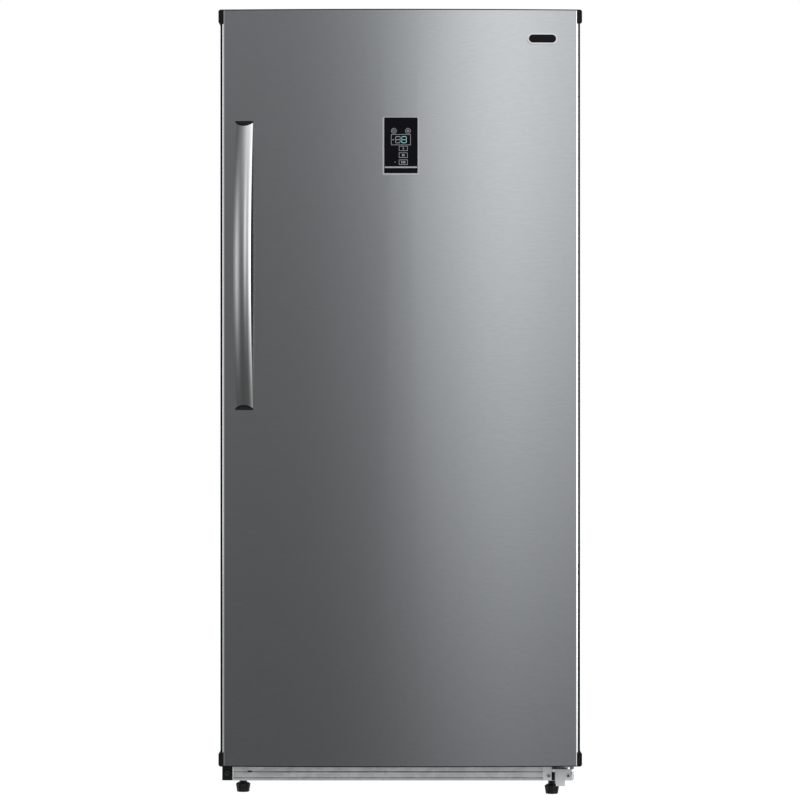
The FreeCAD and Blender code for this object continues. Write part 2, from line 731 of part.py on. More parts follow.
def beam_field():
    """The beam's raised field, with sloping long edges."""
    x, y, tip, z = BEAM_LEFT_X, CASE_FRONT_Y, BEAM_PROUD, BASE_Z + BEAM_SWAGE_RISE
    profile = [(x, y, z), (x, y - tip, z + tip), (x, y - tip, z + BEAM_SWAGE_H - tip), (x, y, z + BEAM_SWAGE_H)]
    return prism(profile, X_AXIS, BRACKET_LEFT_X - BEAM_LEFT_X)


def corner_block():
    """Moulded block that closes the base's left front corner."""
    y0 = CASE_FRONT_Y
    block = box(-CASE_HALF, BEAM_LEFT_X, y0, y0 + BLOCK_DEPTH, BASE_Z, DECK_Z)
    block = fillet_along(block, "Z", BLOCK_R, lambda c: c.x < -CASE_HALF + 1 and c.y < y0 + 1)
    nose_room = box(-BASE_HALF_W + NOSE_SETBACK, BEAM_LEFT_X, y0 + BASE_SHEET_T, y0 + BLOCK_DEPTH,
                    BASE_Z, BASE_Z + BASE_SHEET_T)
    x, z = block_screw_place()
    return cut(block, [nose_room, screw_hole((x, y0 - 1, z), Y_AXIS, BLOCK_SCREW_L + 1)])


def block_screw_place():
    """X and z of the screw in the corner block."""
    return (BEAM_LEFT_X - CASE_HALF) / 2, (BASE_Z + DECK_Z) / 2


def rear_spacers():
    """Two moulded spacers that keep the back clear of the wall."""
    x1, z1 = -SPACER_X + SPACER_W / 2, CASE_TOP_Z - SPACER_DROP
    spacer = box(x1 - SPACER_W, x1, CASE_REAR_Y, CASE_REAR_Y + SPACER_T, z1 - SPACER_H, z1)
    outer = [e for e in spacer.Edges if e.BoundBox.YMin > CASE_REAR_Y + SPACER_T - 1e-6]
    return Part.makeCompound(both_sides(spacer.makeChamfer(SPACER_CHAMFER, outer)))


# ---------------------------------------------------------------- hinges
def top_hinge_plate():
    """Flat plate screwed on the case top, with an arm and a pin riveted in its end."""
    z0 = TOP_LEAF_Z
    y0 = CASE_FRONT_Y + LEAF_SETBACK
    pad = box(HINGE_X - LEAF_REACH, HINGE_X + LEAF_OUTER, y0, y0 + LEAF_D, z0, z0 + LEAF_T)
    arm = box(HINGE_X - ARM_HALF_W, HINGE_X + ARM_HALF_W, HINGE_Y, y0 + LEAF_T, z0, z0 + LEAF_T)
    nose = rod((HINGE_X, HINGE_Y, z0), Z_AXIS, ARM_HALF_W, LEAF_T)
    pin = rod((HINGE_X, HINGE_Y, z0 - TOP_PIN_DEPTH), Z_AXIS, PIN_R, TOP_PIN_DEPTH + LEAF_T)
    holes = [screw_hole((x, y, z0 - 1), Z_AXIS, LEAF_T + 2) for x, y in top_screw_places()]
    return cut(fuse([pad, arm, nose, pin]), holes)


def top_screw_places():
    """Where the screws hold the top hinge plate: two inside, one on the arm's line."""
    front, rear = CASE_FRONT_Y + LEAF_SETBACK + LEAF_D * 0.28, CASE_FRONT_Y + LEAF_SETBACK + LEAF_D * 0.75
    inner = HINGE_X - LEAF_REACH + LEAF_OUTER
    return [(inner, front), (inner, rear), (HINGE_X, (front + rear) / 2)]


def lower_screw_places():
    """Where the screws hold the lower hinge bracket: x and z on the front of the base."""
    z = BASE_Z + BRACKET_SCREW_RISE
    return [(BRACKET_LEFT_X + BRACKET_SCREW_SET, z), (BASE_HALF_W - BRACKET_SCREW_SET, z)]


def lower_hinge_bracket():
    """Bracket bolted on the base's front: upright plate, leaf under the door, front tab and riveted pin."""
    y0, sheet = CASE_FRONT_Y, LEAF_T
    plate = box(BRACKET_LEFT_X, BASE_HALF_W, y0 - sheet, y0, BASE_Z, DECK_Z)
    plate = fillet_along(plate, "Y", BRACKET_CORNER_R, lambda c: c.x > BASE_HALF_W - 1 and c.z < BASE_Z + 1)
    front = HINGE_Y - PIN_R - LOWER_LEAF_T
    leaf = box(HINGE_X - LOWER_LEAF_REACH, HINGE_X + LOWER_LEAF_OUTER, front, y0,
               LOWER_LEAF_Z, LOWER_LEAF_Z + LOWER_LEAF_T)
    leaf = fillet_along(leaf, "Z", LOWER_LEAF_R, lambda c: c.y < front + 1)
    tab_y = front + LOWER_LEAF_R
    tab_x = HINGE_X - TAB_SHIFT
    tab = box(tab_x - TAB_W / 2, tab_x + TAB_W / 2, tab_y, tab_y + sheet, BASE_Z - TAB_DROP, LOWER_LEAF_Z)
    x_web = HINGE_X + LOWER_LEAF_OUTER - sheet
    web = prism([(x_web, y0 - sheet, BASE_Z + sheet), (x_web, tab_y + sheet, LOWER_LEAF_Z),
                 (x_web, y0 - sheet, LOWER_LEAF_Z)], X_AXIS, sheet)
    pin = rod((HINGE_X, HINGE_Y, LOWER_LEAF_Z), Z_AXIS, PIN_R, LOWER_LEAF_DROP + LOWER_PIN_RISE)
    holes = [screw_hole((x, y0 - sheet - 1, z), Y_AXIS, sheet + 2) for x, z in lower_screw_places()]
    return cut(fuse([plate, leaf, tab, web, pin]), holes)


def screw(head_at, axis, length):
    """A hexagon-head screw: the head sits outside head_at, the shank runs along the axis."""
    at = Vector(*head_at)
    head = many_sided(at - axis * SCREW_HEAD_T, axis, SCREW_HEAD_R, SCREW_HEAD_T, HEAD_SIDES)
    return fuse([head, screw_hole(at, axis, length)])


def cabinet_screws():
    """The equal screws of both hinges, the corner block and the machine cover."""
    down = Z_AXIS * -1
    forward = Y_AXIS * -1
    plate_top = TOP_LEAF_Z + LEAF_T
    screws = [screw((x, y, plate_top), down, LEAF_T) for x, y in top_screw_places()]
    grip = LEAF_T + BASE_SHEET_T
    screws += [screw((x, CASE_FRONT_Y - LEAF_T, z), Y_AXIS, grip) for x, z in lower_screw_places()]
    x, z = block_screw_place()
    screws.append(screw((x, CASE_FRONT_Y, z), Y_AXIS, BLOCK_SCREW_L))
    rear = CASE_REAR_Y + MACHINE_COVER_T
    screws += [screw((x, rear, z), forward, MACHINE_COVER_T) for x, z in cover_screw_places()]
    return Part.makeCompound(screws)


def top_hinge_cover():
    """Moulded cover over the hinge plate, open towards the door for the arm."""
    z0, wall = TOP_LEAF_Z, HINGE_COVER_T
    room_x0, room_x1 = HINGE_X - LEAF_REACH - wall, CASE_HALF - LEAF_SETBACK - wall
    room_y0, room_y1 = CASE_FRONT_Y + LEAF_SETBACK - 1, CASE_FRONT_Y + LEAF_SETBACK + LEAF_D + wall
    shell = box(room_x0 - wall, room_x1 + wall, room_y0 - wall, room_y1 + wall, z0, z0 + HINGE_COVER_H)
    top_edges = [e for e in shell.Edges if e.BoundBox.ZMin > z0 + HINGE_COVER_H - 1e-6]
    shell = shell.makeChamfer(HINGE_COVER_CHAMFER, top_edges)
    room = box(room_x0, room_x1, room_y0, room_y1, z0 - 1, z0 + HINGE_COVER_H - wall)
    arm_half = ARM_HALF_W + ARM_CLEAR
    arm_way = box(HINGE_X - arm_half, HINGE_X + arm_half, room_y0 - 2 * wall, room_y0 + 1,
                  z0 - 1, z0 + LEAF_T + ARM_CLEAR)
    return cut(shell, [room, arm_way])


def hinge_bushings():
    """Flanged bushings in the door's two caps that turn on the hinge pins."""
    return Part.makeCompound([bushing(TOP_CAP_FLOOR_Z, -1), bushing(DOOR_BOTTOM_Z, 1)])


def bushing(z, into):
    """One bushing: a square flange outside the cap's face at z, an eight-sided sleeve into the cap."""
    axis = Z_AXIS * into
    at = Vector(HINGE_X, HINGE_Y, z)
    flange_z = min(z, z - into * BUSH_FLANGE_T)
    half = BUSH_FLANGE_HALF
    flange = box(HINGE_X - half, HINGE_X + half, HINGE_Y - half, HINGE_Y + half,
                 flange_z, flange_z + BUSH_FLANGE_T)
    sleeve = many_sided(at, axis, BUSH_R, BUSH_LENGTH, SHANK_SIDES)
    bore = way_for(at - axis * FAR / 2, axis, PIN_R + PIN_CLEAR, FAR, ROLLER_SIDES)
    return fuse([flange, sleeve]).cut(bore)


def bushing_seat(z, into):
    """The hole that a bushing's sleeve fills in the cap and the foam, with room for the pin's end."""
    axis = Z_AXIS * into
    start = Vector(HINGE_X, HINGE_Y, z) - axis * BUSH_FLANGE_T
    return many_sided(start, axis, BUSH_R, BUSH_FLANGE_T + BUSH_LENGTH + PIN_END_ROOM, SHANK_SIDES)


# ---------------------------------------------------------------- door
def door_skin():
    """Steel skin bent to a crowned front with rounded vertical edges and hems at the back."""
    sheet = door_prism(0, DOOR_BACK_Y - DOOR_LINER_T, SKIN_BOTTOM_Z, SKIN_TOP_Z)
    inside = door_prism(SKIN_T, DOOR_BACK_Y - DOOR_LINER_T - SKIN_T, SKIN_BOTTOM_Z - 1, SKIN_TOP_Z + 1)
    mouth_half = SKIN_HALF - SKIN_HEM
    mouth = box(-mouth_half, mouth_half, EDGE_Y + DOOR_T / 2, DOOR_BACK_Y, SKIN_BOTTOM_Z - 1, SKIN_TOP_Z + 1)
    notch_y = EDGE_Y + CAP_RIM_T
    upper = box(-FAR, FAR, notch_y, DOOR_BACK_Y, DOOR_TOP_Z - CAP_EAR_H, FAR)
    lower = box(-FAR, FAR, notch_y, DOOR_BACK_Y, 0, DOOR_BOTTOM_Z + CAP_EAR_H)
    return cut(sheet, [inside, mouth, upper, lower, panel_pocket()] + handle_screw_holes())


def side_trims():
    """Dark strips along both sides of the door between the ears of the caps."""
    front = EDGE_Y + SIDE_TRIM_SETBACK
    strip = box(-CASE_HALF, -SKIN_HALF, front, DOOR_BACK_Y - DOOR_LINER_T,
                DOOR_BOTTOM_Z + CAP_EAR_H, DOOR_TOP_Z - CAP_EAR_H)
    strip = fillet_along(strip, "Z", SIDE_TRIM_R, lambda c: c.x < -CASE_HALF + 1 and c.y < front + 1)
    return Part.makeCompound(both_sides(strip))


def ear(side, z0, z1, rear_y):
    """A cap's dark ear at one door corner: it stands a little outside the side trim."""
    inner = SKIN_HALF - SKIN_CORNER_R
    outer = CASE_HALF + CAP_EAR_PROUD
    block = box(inner, outer, EDGE_Y + CAP_EAR_SETBACK, rear_y, z0, z1)
    corners = [e for e in block.Edges
               if e.BoundBox.YLength > 1 and e.BoundBox.XMin > outer - 1e-6 and e.BoundBox.ZLength < 1e-6]
    block = block.makeChamfer(CAP_EAR_CHAMFER, corners)
    block = block.cut(door_prism(0, FAR, SKIN_BOTTOM_Z, SKIN_TOP_Z))
    return block if side > 0 else both_sides(block)[1]


def door_top_cap():
    """Moulded top cap: floor of the hinge recess, front rim behind the skin, lip over it and two ears."""
    rear = DOOR_BACK_Y - DOOR_LINER_T
    floor = door_prism(SKIN_T, rear, FOAM_TOP_Z, TOP_CAP_FLOOR_Z)
    hems = hem_strips(FOAM_TOP_Z - 1, TOP_CAP_FLOOR_Z)
    rim = front_band(SKIN_T, TOP_CAP_FLOOR_Z, SKIN_TOP_Z)
    lip = front_band(0, SKIN_TOP_Z, DOOR_TOP_Z)
    z0, z1 = DOOR_TOP_Z - CAP_EAR_H, DOOR_TOP_Z
    left_wall = box(-SKIN_HALF, -SKIN_HALF + CAP_RIM_T, EDGE_Y + CAP_RIM_T, rear, z0, z1)
    ears = [ear(-1, z0, z1, rear), ear(1, z0, z1, EDGE_Y + CAP_RIM_T)]
    return fuse([floor.cut(hems), rim, lip, left_wall] + ears).cut(bushing_seat(TOP_CAP_FLOOR_Z, -1))


def front_band(inset, z0, z1):
    """A band along the door's crowned front, from inset behind the skin's face to the cap rim's back."""
    band = door_prism(inset, DOOR_BACK_Y, z0, z1).cut(door_prism(SKIN_T + CAP_RIM_T, FAR, z0, z1))
    return band.cut(box(-FAR, FAR, EDGE_Y + CAP_RIM_T, FAR, 0, FAR))


def door_bottom_cap():
    """Moulded bottom cap: floor plate, lip under the skin and two ears."""
    rear = DOOR_BACK_Y - DOOR_LINER_T
    z0, z1 = DOOR_BOTTOM_Z, DOOR_BOTTOM_Z + CAP_EAR_H
    floor = door_prism(SKIN_T, rear, z0, FOAM_BOTTOM_Z)
    lip = door_prism(0, rear, z0, SKIN_BOTTOM_Z)
    walls = both_sides(box(SKIN_HALF - CAP_RIM_T, SKIN_HALF, EDGE_Y + SKIN_CORNER_R, rear, z0, z1))
    cap = fuse([floor, lip] + walls + [ear(-1, z0, z1, rear), ear(1, z0, z1, rear)])
    skin = door_prism(0, rear, SKIN_BOTTOM_Z, z1 + 1).cut(door_prism(SKIN_T, FAR, SKIN_BOTTOM_Z, z1 + 1))
    skin = skin.cut(box(-FAR, FAR, EDGE_Y + CAP_RIM_T, FAR, 0, FAR))
    return cap.cut([skin, bushing_seat(DOOR_BOTTOM_Z, 1)])


def hem_strips(z0, z1):
    """The skin's two rear hems between two heights."""
    inner = SKIN_HALF - SKIN_HEM
    rear = DOOR_BACK_Y - DOOR_LINER_T
    return Part.makeCompound(both_sides(box(inner, SKIN_HALF, rear - SKIN_T, rear, z0, z1)))


def liner_back(inset):
    """The raised frame on the door's back, as a closed form: two side ribs and two end ribs."""
    outer, inner = DIKE_OUTER - inset, DIKE_OUTER - DIKE_W + inset
    z0, z1 = DIKE_BOTTOM_Z + inset, DIKE_TOP_Z - inset
    width = DIKE_W - 2 * inset
    crest = DOOR_BACK_Y + DIKE_H - inset
    slab = box(-outer, outer, DOOR_BACK_Y - inset - 1, crest, z0, z1)
    well = box(-inner, inner, DOOR_BACK_Y - inset - 2, crest + 1, z0 + width, z1 - width)
    frame = slab.cut(well)
    crest_edges = [e for e in frame.Edges if e.BoundBox.YMin > crest - 1e-6 and e.BoundBox.YLength < 1e-6]
    return frame.makeChamfer(DIKE_CHAMFER - inset / 2, crest_edges)


def bin_lug(z):
    """A bin lug moulded on the inner side of the left rib."""
    inner = DIKE_OUTER - DIKE_W
    y0 = DOOR_BACK_Y + LUG_SET
    z0 = z + LUG_RISE
    return box(-inner - DOOR_LINER_T / 2, -inner + LUG_PROUD, y0, y0 + LUG_SIZE, z0, z0 + LUG_SIZE)


def door_liner():
    """Vacuum-formed back of the door: thin sheet with hollow ribs and lugs for the bins."""
    t = DOOR_LINER_T
    field = box(-SKIN_HALF, SKIN_HALF, DOOR_BACK_Y - t, DOOR_BACK_Y, DOOR_BOTTOM_Z, TOP_CAP_FLOOR_Z)
    raised = fuse([field, liner_back(0)])
    half = DIKE_OUTER - t
    behind_field = box(-half, half, DOOR_BACK_Y - 2 * t, DOOR_BACK_Y - t, DIKE_BOTTOM_Z + t, DIKE_TOP_Z - t)
    sheet = raised.cut(liner_back(t).fuse(behind_field))
    lugs = [side for z in BIN_ZS for side in both_sides(bin_lug(z))]
    return fuse([sheet] + lugs)


def door_foam():
    """Foamed core of the door, filling the skin and the hollow ribs."""
    rear = DOOR_BACK_Y - DOOR_LINER_T
    slab = door_prism(SKIN_T, rear, FOAM_BOTTOM_Z, FOAM_TOP_Z)
    core = fuse([slab, liner_back(DOOR_LINER_T)])
    ear_room = box(-FAR, FAR, EDGE_Y + CAP_RIM_T, rear, 0, DOOR_BOTTOM_Z + CAP_EAR_H)
    ear_room = ear_room.cut(box(-SKIN_HALF + CAP_RIM_T, SKIN_HALF - CAP_RIM_T, -FAR, FAR, 0, FAR))
    seats = [bushing_seat(TOP_CAP_FLOOR_Z, -1), bushing_seat(DOOR_BOTTOM_Z, 1)]
    return cut(core, [hem_strips(0, FAR), ear_room, panel_pocket(), handle_screws()] + seats)


def door_gasket():
    """Magnetic gasket ring pressed on the door's back, with a soft bellows groove round it."""
    def ring(outer_inset, inner_inset, near, far):
        y0, y1 = DOOR_BACK_Y + near * GASKET_T, DOOR_BACK_Y + far * GASKET_T
        half = GASKET_OUTER - outer_inset
        hole_half = GASKET_OUTER - GASKET_W + inner_inset
        rise = GASKET_W - inner_inset
        outer = box(-half, half, y0, y1, GASKET_BOTTOM_Z + outer_inset, GASKET_TOP_Z - outer_inset)
        return outer.cut(box(-hole_half, hole_half, y0, y1, GASKET_BOTTOM_Z + rise, GASKET_TOP_Z - rise))

    base = ring(0, 0, 0, 0.3)
    bellows = ring(GASKET_GROOVE, GASKET_GROOVE, 0.3, 0.55)
    head = ring(0, GASKET_GROOVE, 0.55, 1)
    return fuse([base, bellows, head])


# ---------------------------------------------------------------- handle
def band_section():
    """The handle band's section in the XY plane: rounded front at y = 0, flat back with bevelled corners."""
    half, edge, bevel = HANDLE_W / 2, HANDLE_BULGE, HANDLE_BEVEL
    back = edge + HANDLE_EDGE_T
    outline = [(half, edge), (half, back - bevel), (half - bevel, back), (-half + bevel, back),
               (-half, back - bevel), (-half, edge)]
    corners = [Vector(x, y, 0) for x, y in outline]
    front = Part.Arc(corners[-1], Vector(0, 0, 0), corners[0]).toShape()
    sides = [Part.makeLine(a, b) for a, b in zip(corners, corners[1:])]
    return Part.Face(Part.Wire([front] + sides))


def handle_rise():
    """How far the band's front stands off the skin at the handle."""
    return crown_at(HANDLE_X) - HANDLE_FRONT_Y


def bow_line():
    """Radius of the band's front along its length, and degrees from its middle to its ends."""
    reach, sagitta = HANDLE_LENGTH / 2, handle_rise() - HANDLE_END_RISE
    radius = (reach ** 2 + sagitta ** 2) / (2 * sagitta)
    return radius, math.degrees(math.asin(reach / radius))


def turned_up(section, turn):
    """A section of the band set on the bow above its middle, on a skin that is flat at y = 0."""
    section.translate(Vector(0, -handle_rise(), 0))
    section.rotate(bow_centre(), X_AXIS, -turn)
    return section


def bow_centre():
    """Centre of the bow, with the band's middle at z = 0."""
    return Vector(0, bow_line()[0] - handle_rise(), 0)


def bowed_band():
    """The bowed band before its ends are cut."""
    turn = bow_line()[1] + BOW_OVERRUN
    band = turned_up(band_section(), turn).revolve(bow_centre(), X_AXIS, 2 * turn)
    return band.cut(box(-FAR, FAR, 0, FAR, -FAR, FAR))


def straight_end():
    """A short straight piece of the band at its upper end, with flats in place of its rounded front."""
    half, back = HANDLE_W / 2, HANDLE_BULGE + HANDLE_EDGE_T
    radius = (half ** 2 + HANDLE_BULGE ** 2) / (2 * HANDLE_BULGE)
    xs = [half * (2 * i / CAP_FLATS - 1) for i in range(CAP_FLATS + 1)]
    front = [(x, radius - math.sqrt(radius ** 2 - x ** 2)) for x in xs]
    section = Part.Face(closed_line([Vector(x, y, 0) for x, y in front + [(half, back), (-half, back)]]))
    along = FreeCAD.Rotation(X_AXIS, -bow_line()[1]).multVec(Vector(0, 0, CAP_REACH))
    piece = turned_up(section, bow_line()[1])
    piece.translate(along * -1)
    return piece.extrude(along * 2)


def beyond_ends(inset):
    """All that lies past the band's sloping end faces, or past planes set in from them."""
    space = box(-FAR, FAR, -FAR, FAR, 0, FAR)
    space.rotate(Vector(0, 0, 0), X_AXIS, HANDLE_MITRE)
    space.translate(Vector(0, 0, HANDLE_LENGTH / 2 - inset / math.cos(math.radians(HANDLE_MITRE))))
    return [space, space.mirror(Vector(0, 0, 0), Z_AXIS)]


def at_handle(shape):
    """Move a shape made about z = 0 to the handle's place on the door."""
    shape.translate(Vector(0, 0, HANDLE_MIDDLE_Z))
    return on_door(shape, HANDLE_X)


def handle_bar():
    """Bowed metal band with a rounded front, cut off on a slope inside its end caps."""
    band = cut(bowed_band(), beyond_ends(HANDLE_CAP_T))
    return at_handle(band).cut(handle_screws())


def handle_end_caps():
    """Dark plates that close the band's sloping ends."""
    block = cut(straight_end(), [box(-FAR, FAR, 0, FAR, -FAR, FAR), beyond_ends(0)[0]])
    cap = block.common(beyond_ends(HANDLE_CAP_T)[0])
    return at_handle(Part.makeCompound([cap, cap.mirror(Vector(0, 0, 0), Z_AXIS)]))


def handle_screw_zs():
    """Heights of the screws that hold the handle's ends."""
    reach = HANDLE_LENGTH / 2 - HANDLE_SCREW_SET
    return [HANDLE_MIDDLE_Z - reach, HANDLE_MIDDLE_Z + reach]


def handle_screw_holes():
    """Holes in the skin for the handle's screws."""
    return [on_door(screw_hole((0, -SKIN_T, z), Y_AXIS, 3 * SKIN_T), HANDLE_X) for z in handle_screw_zs()]


def handle_screws():
    """Two screws driven from inside the door through the skin into the handle's ends."""
    forward = Y_AXIS * -1
    grip = SKIN_T + HANDLE_SCREW_GRIP
    screws = [on_door(screw((0, SKIN_T, z), forward, grip), HANDLE_X) for z in handle_screw_zs()]
    return Part.makeCompound(screws)


# ---------------------------------------------------------------- control panel and badge
def panel_pocket():
    """Opening in the skin and the foam for the control panel's housing."""
    return panel_block(0, CROWN_Y - PANEL_PROUD, CROWN_Y + POCKET_DEPTH)


def panel_block(inset, y0, y1):
    """The panel housing's outline, drawn in by inset, between two depths."""
    half_w, half_h = PANEL_W / 2 - POCKET_MARGIN - inset, PANEL_H / 2 - POCKET_MARGIN - inset
    return box(PANEL_X - half_w, PANEL_X + half_w, y0, y1, PANEL_Z - half_h, PANEL_Z + half_h)


def panel_bezel():
    """Panel frame with a seat for the glass, in one piece with the housing behind the skin."""
    front = CROWN_Y - PANEL_PROUD
    flange = rounded_plate(PANEL_W, PANEL_H, PANEL_R, PANEL_PROUD, (PANEL_X, front, PANEL_Z))
    housing = panel_block(0, CROWN_Y - PANEL_PROUD / 2, CROWN_Y + POCKET_DEPTH)
    room = panel_block(HOUSING_T, front - 1, CROWN_Y + POCKET_DEPTH - HOUSING_T)
    seat = glass_plate(GLASS_CLEAR)
    return cut(fuse([flange, housing]), [room, seat])


def glass_plate(grow):
    """The panel glass, or the seat that it lies in when grown."""
    plate = flat_plate(GLASS_W + 2 * grow, GLASS_H + 2 * grow, GLASS_T,
                       (PANEL_X + GLASS_SHIFT_X, CROWN_Y - PANEL_PROUD, PANEL_Z + GLASS_SHIFT_Z))
    return plate.makeChamfer(GLASS_CHAMFER, corner_edges(plate))


def panel_glass():
    """Black glass of the touch panel, flush in its bezel."""
    return glass_plate(0)


def panel_board():
    """Circuit board behind the glass with a display block and touch pads that reach the glass."""
    inset = HOUSING_T + BOARD_CLEAR
    y_glass = CROWN_Y - PANEL_PROUD + GLASS_T
    y_board = CROWN_Y + BOARD_SETBACK
    y_floor = CROWN_Y + POCKET_DEPTH - HOUSING_T
    board = panel_block(inset, y_board, y_board + BOARD_T)
    display = flat_plate(DISPLAY_W, DISPLAY_H, y_board - y_glass, (PANEL_X, y_glass, PANEL_Z + DISPLAY_RISE))
    pads = [many_sided((PANEL_X + side * PAD_X, y_glass, PANEL_Z + PAD_RISE), Y_AXIS, PAD_R,
                       y_board - y_glass, TUBE_SIDES) for side in (-1, 1)]
    size = board.BoundBox
    posts = []
    for x in (size.XMin + POST_W, size.XMax - POST_W):
        for z in (size.ZMin + POST_W, size.ZMax - POST_W):
            posts.append(flat_plate(POST_W, POST_W, y_floor - y_board - BOARD_T, (x, y_board + BOARD_T, z)))
    return fuse([board, display] + pads + posts)


def pill(width, height, thickness, front):
    """A plate with round ends, standing at x = 0 and pointing to the front."""
    radius = height / 2
    corners = []
    for side in (1, -1):
        for i in range(TUBE_SIDES + 1):
            turn = math.pi * i / TUBE_SIDES
            reach = width / 2 - radius + radius * math.sin(turn)
            corners.append(Vector(side * reach, front, BADGE_Z - side * radius * math.cos(turn)))
    return Part.Face(closed_line(corners)).extrude(Y_AXIS * thickness)


def badge_rim():
    """Bright pill-shaped badge with a raised rim round its bare field."""
    plate = pill(BADGE_W, BADGE_H, BADGE_T, -BADGE_T)
    field = pill(BADGE_W - 2 * BADGE_RIM, BADGE_H - 2 * BADGE_RIM, BADGE_T, -BADGE_T - BADGE_FIELD_T)
    return on_door(plate.cut(field), BADGE_X)


# ---------------------------------------------------------------- door bins
def door_bin(z):
    """A moulded bin with a raked front, hanging by two hooks on the door liner's lugs."""
    y0 = DOOR_BACK_Y + BIN_BACK_GAP
    y1 = y0 + BIN_DEPTH

    def tub(inset, z0, z1):
        x = -BIN_HALF_W + inset
        side = [(x, y0 + inset, z0), (x, y1 - BIN_RAKE - inset, z0), (x, y1 - inset, z1), (x, y0 + inset, z1)]
        return prism(side, X_AXIS, -2 * x)

    body = tub(0, z, z + BIN_H).cut(tub(BIN_WALL, z + BIN_WALL, z + BIN_H + 1))
    half = BIN_HALF_W - BIN_SLOT_INSET
    slot_z = z + BIN_SLOT_RISE
    slot = box(-half, half, y1 - BIN_RAKE - BIN_WALL, y1 + 1, slot_z, slot_z + BIN_SLOT_H)
    return fuse([body.cut(slot)] + both_sides(bin_hook(z)))


def bin_hook(z):
    """The hood on the bin's left side that drops over a lug."""
    x0, x1 = -(DIKE_OUTER - DIKE_W) + HOOK_CLEAR, -BIN_HALF_W + BIN_WALL / 2
    y0 = DOOR_BACK_Y + LUG_SET - HOOK_CLEAR
    y1 = DOOR_BACK_Y + LUG_SET + LUG_SIZE + HOOK_CLEAR
    z0, z1 = z + LUG_RISE - HOOK_OVERLAP, z + LUG_RISE + LUG_SIZE + HOOK_CLEAR
    hood = box(x0, x1, y0 - HOOK_WALL, y1 + HOOK_WALL, z0, z1 + HOOK_WALL)
    return hood.cut(box(x0 - 1, -BIN_HALF_W, y0, y1, z0 - 1, z1))


# ---------------------------------------------------------------- shelves, basket and lamp
def shelf_glass():
    """Three tempered glass shelves on the liner's ledges."""
    return Part.makeCompound([glass_pane(z) for z in SHELF_ZS])


def glass_pane(z):
    """One pane, between its front and rear trims."""
    half = CAVITY_HALF - SHELF_SIDE_GAP
    y0 = CASE_FRONT_Y + SHELF_FRONT_GAP
    return box(-half, half, y0 + SHELF_TRIM_T / 2, y0 + SHELF_DEPTH - SHELF_TRIM_T / 2, z, z + SHELF_GLASS_T)


def shelf_trims():
    """Moulded front and rear trims of the shelves, each with a groove for the glass."""
    half = CAVITY_HALF - SHELF_SIDE_GAP - LEDGE_W
    y0 = CASE_FRONT_Y + SHELF_FRONT_GAP
    y1 = y0 + SHELF_DEPTH
    trims = []
    for z in SHELF_ZS:
        front = box(-half, half, y0, y0 + SHELF_TRIM_T, z - SHELF_TRIM_H / 2, z + SHELF_TRIM_H / 2)
        rear = box(-half, half, y1 - SHELF_TRIM_T, y1, z - SHELF_TRIM_H / 4, z + SHELF_TRIM_H)
        front = fillet_along(front, "X", SHELF_TRIM_R, lambda c: c.y < y0 + 1)
        trims += [front.cut(glass_pane(z)), rear.cut(glass_pane(z))]
    return Part.makeCompound(trims)


def basket_ledge_z():
    """Height of the ledges that the basket's rim slides on."""
    return CAVITY_FLOOR_Z + BASKET_LIFT + BASKET_H - BASKET_RAIL_H - BASKET_SLIDE_GAP


def basket():
    """Slide-out basket with slotted front and sides, a grip, and a rim that runs on the ledges."""
    y0 = CASE_FRONT_Y + BASKET_FRONT_GAP
    y1 = y0 + BASKET_DEPTH
    z0 = CAVITY_FLOOR_Z + BASKET_LIFT
    z1 = z0 + BASKET_H
    half, wall = BASKET_HALF_W, BASKET_WALL
    body = fillet_along(box(-half, half, y0, y1, z0, z1), "Z", BASKET_R, lambda c: True)
    room = box(-half + wall, half - wall, y0 + wall, y1 - wall, z0 + wall, z1 + 1)
    room = fillet_along(room, "Z", BASKET_R - wall, lambda c: True)
    rail = box(-CAVITY_HALF + LEDGE_W - BASKET_RAIL_W, -half + wall / 2, y0 + BASKET_R, y1 - BASKET_R,
               z1 - BASKET_RAIL_H, z1)
    slot_z0, slot_z1 = z0 + BASKET_SLOT_SILL, z1 - BASKET_SLOT_HEAD
    slots = [box(x - BASKET_SLOT_W / 2, x + BASKET_SLOT_W / 2, y0 - 1, y0 + wall + 1, slot_z0, slot_z1)
             for x in spread(-half + BASKET_SLOT_MARGIN, half - BASKET_SLOT_MARGIN, BASKET_SLOTS)]
    for y in spread(y0 + BASKET_SLOT_MARGIN, y1 - BASKET_SLOT_MARGIN, BASKET_SIDE_SLOTS):
        slot = box(-half - 1, -half + wall + 1, y - BASKET_SLOT_W / 2, y + BASKET_SLOT_W / 2,
                   slot_z0, slot_z1)
        slots += both_sides(slot)
    grip_z = z1 - BASKET_GRIP_DROP
    grip = box(-BASKET_GRIP_W / 2, BASKET_GRIP_W / 2, y0 - 1, y0 + wall + 1, grip_z - BASKET_GRIP_H, grip_z)
    return fuse([cut(body, [room, grip] + slots)] + both_sides(rail))


def spread(start, end, count):
    """The middles of equal steps between two places."""
    step = (end - start) / count
    return [start + step * (i + 0.5) for i in range(count)]


def lamp_place():
    """X, Y and Z limits of the lamp under the cavity's ceiling."""
    y0 = CASE_FRONT_Y + LAMP_BACK
    return -LAMP_W / 2, LAMP_W / 2, y0, y0 + LAMP_D, CAVITY_TOP_Z - LAMP_H, CAVITY_TOP_Z


def lamp_housing():
    """Lamp housing fixed to the cavity's ceiling, open below."""
    x0, x1, y0, y1, z0, z1 = lamp_place()
    shell = box(x0, x1, y0, y1, z0 + LAMP_T, z1)
    return shell.cut(box(x0 + LAMP_T, x1 - LAMP_T, y0 + LAMP_T, y1 - LAMP_T, z0, z1 - LAMP_T))


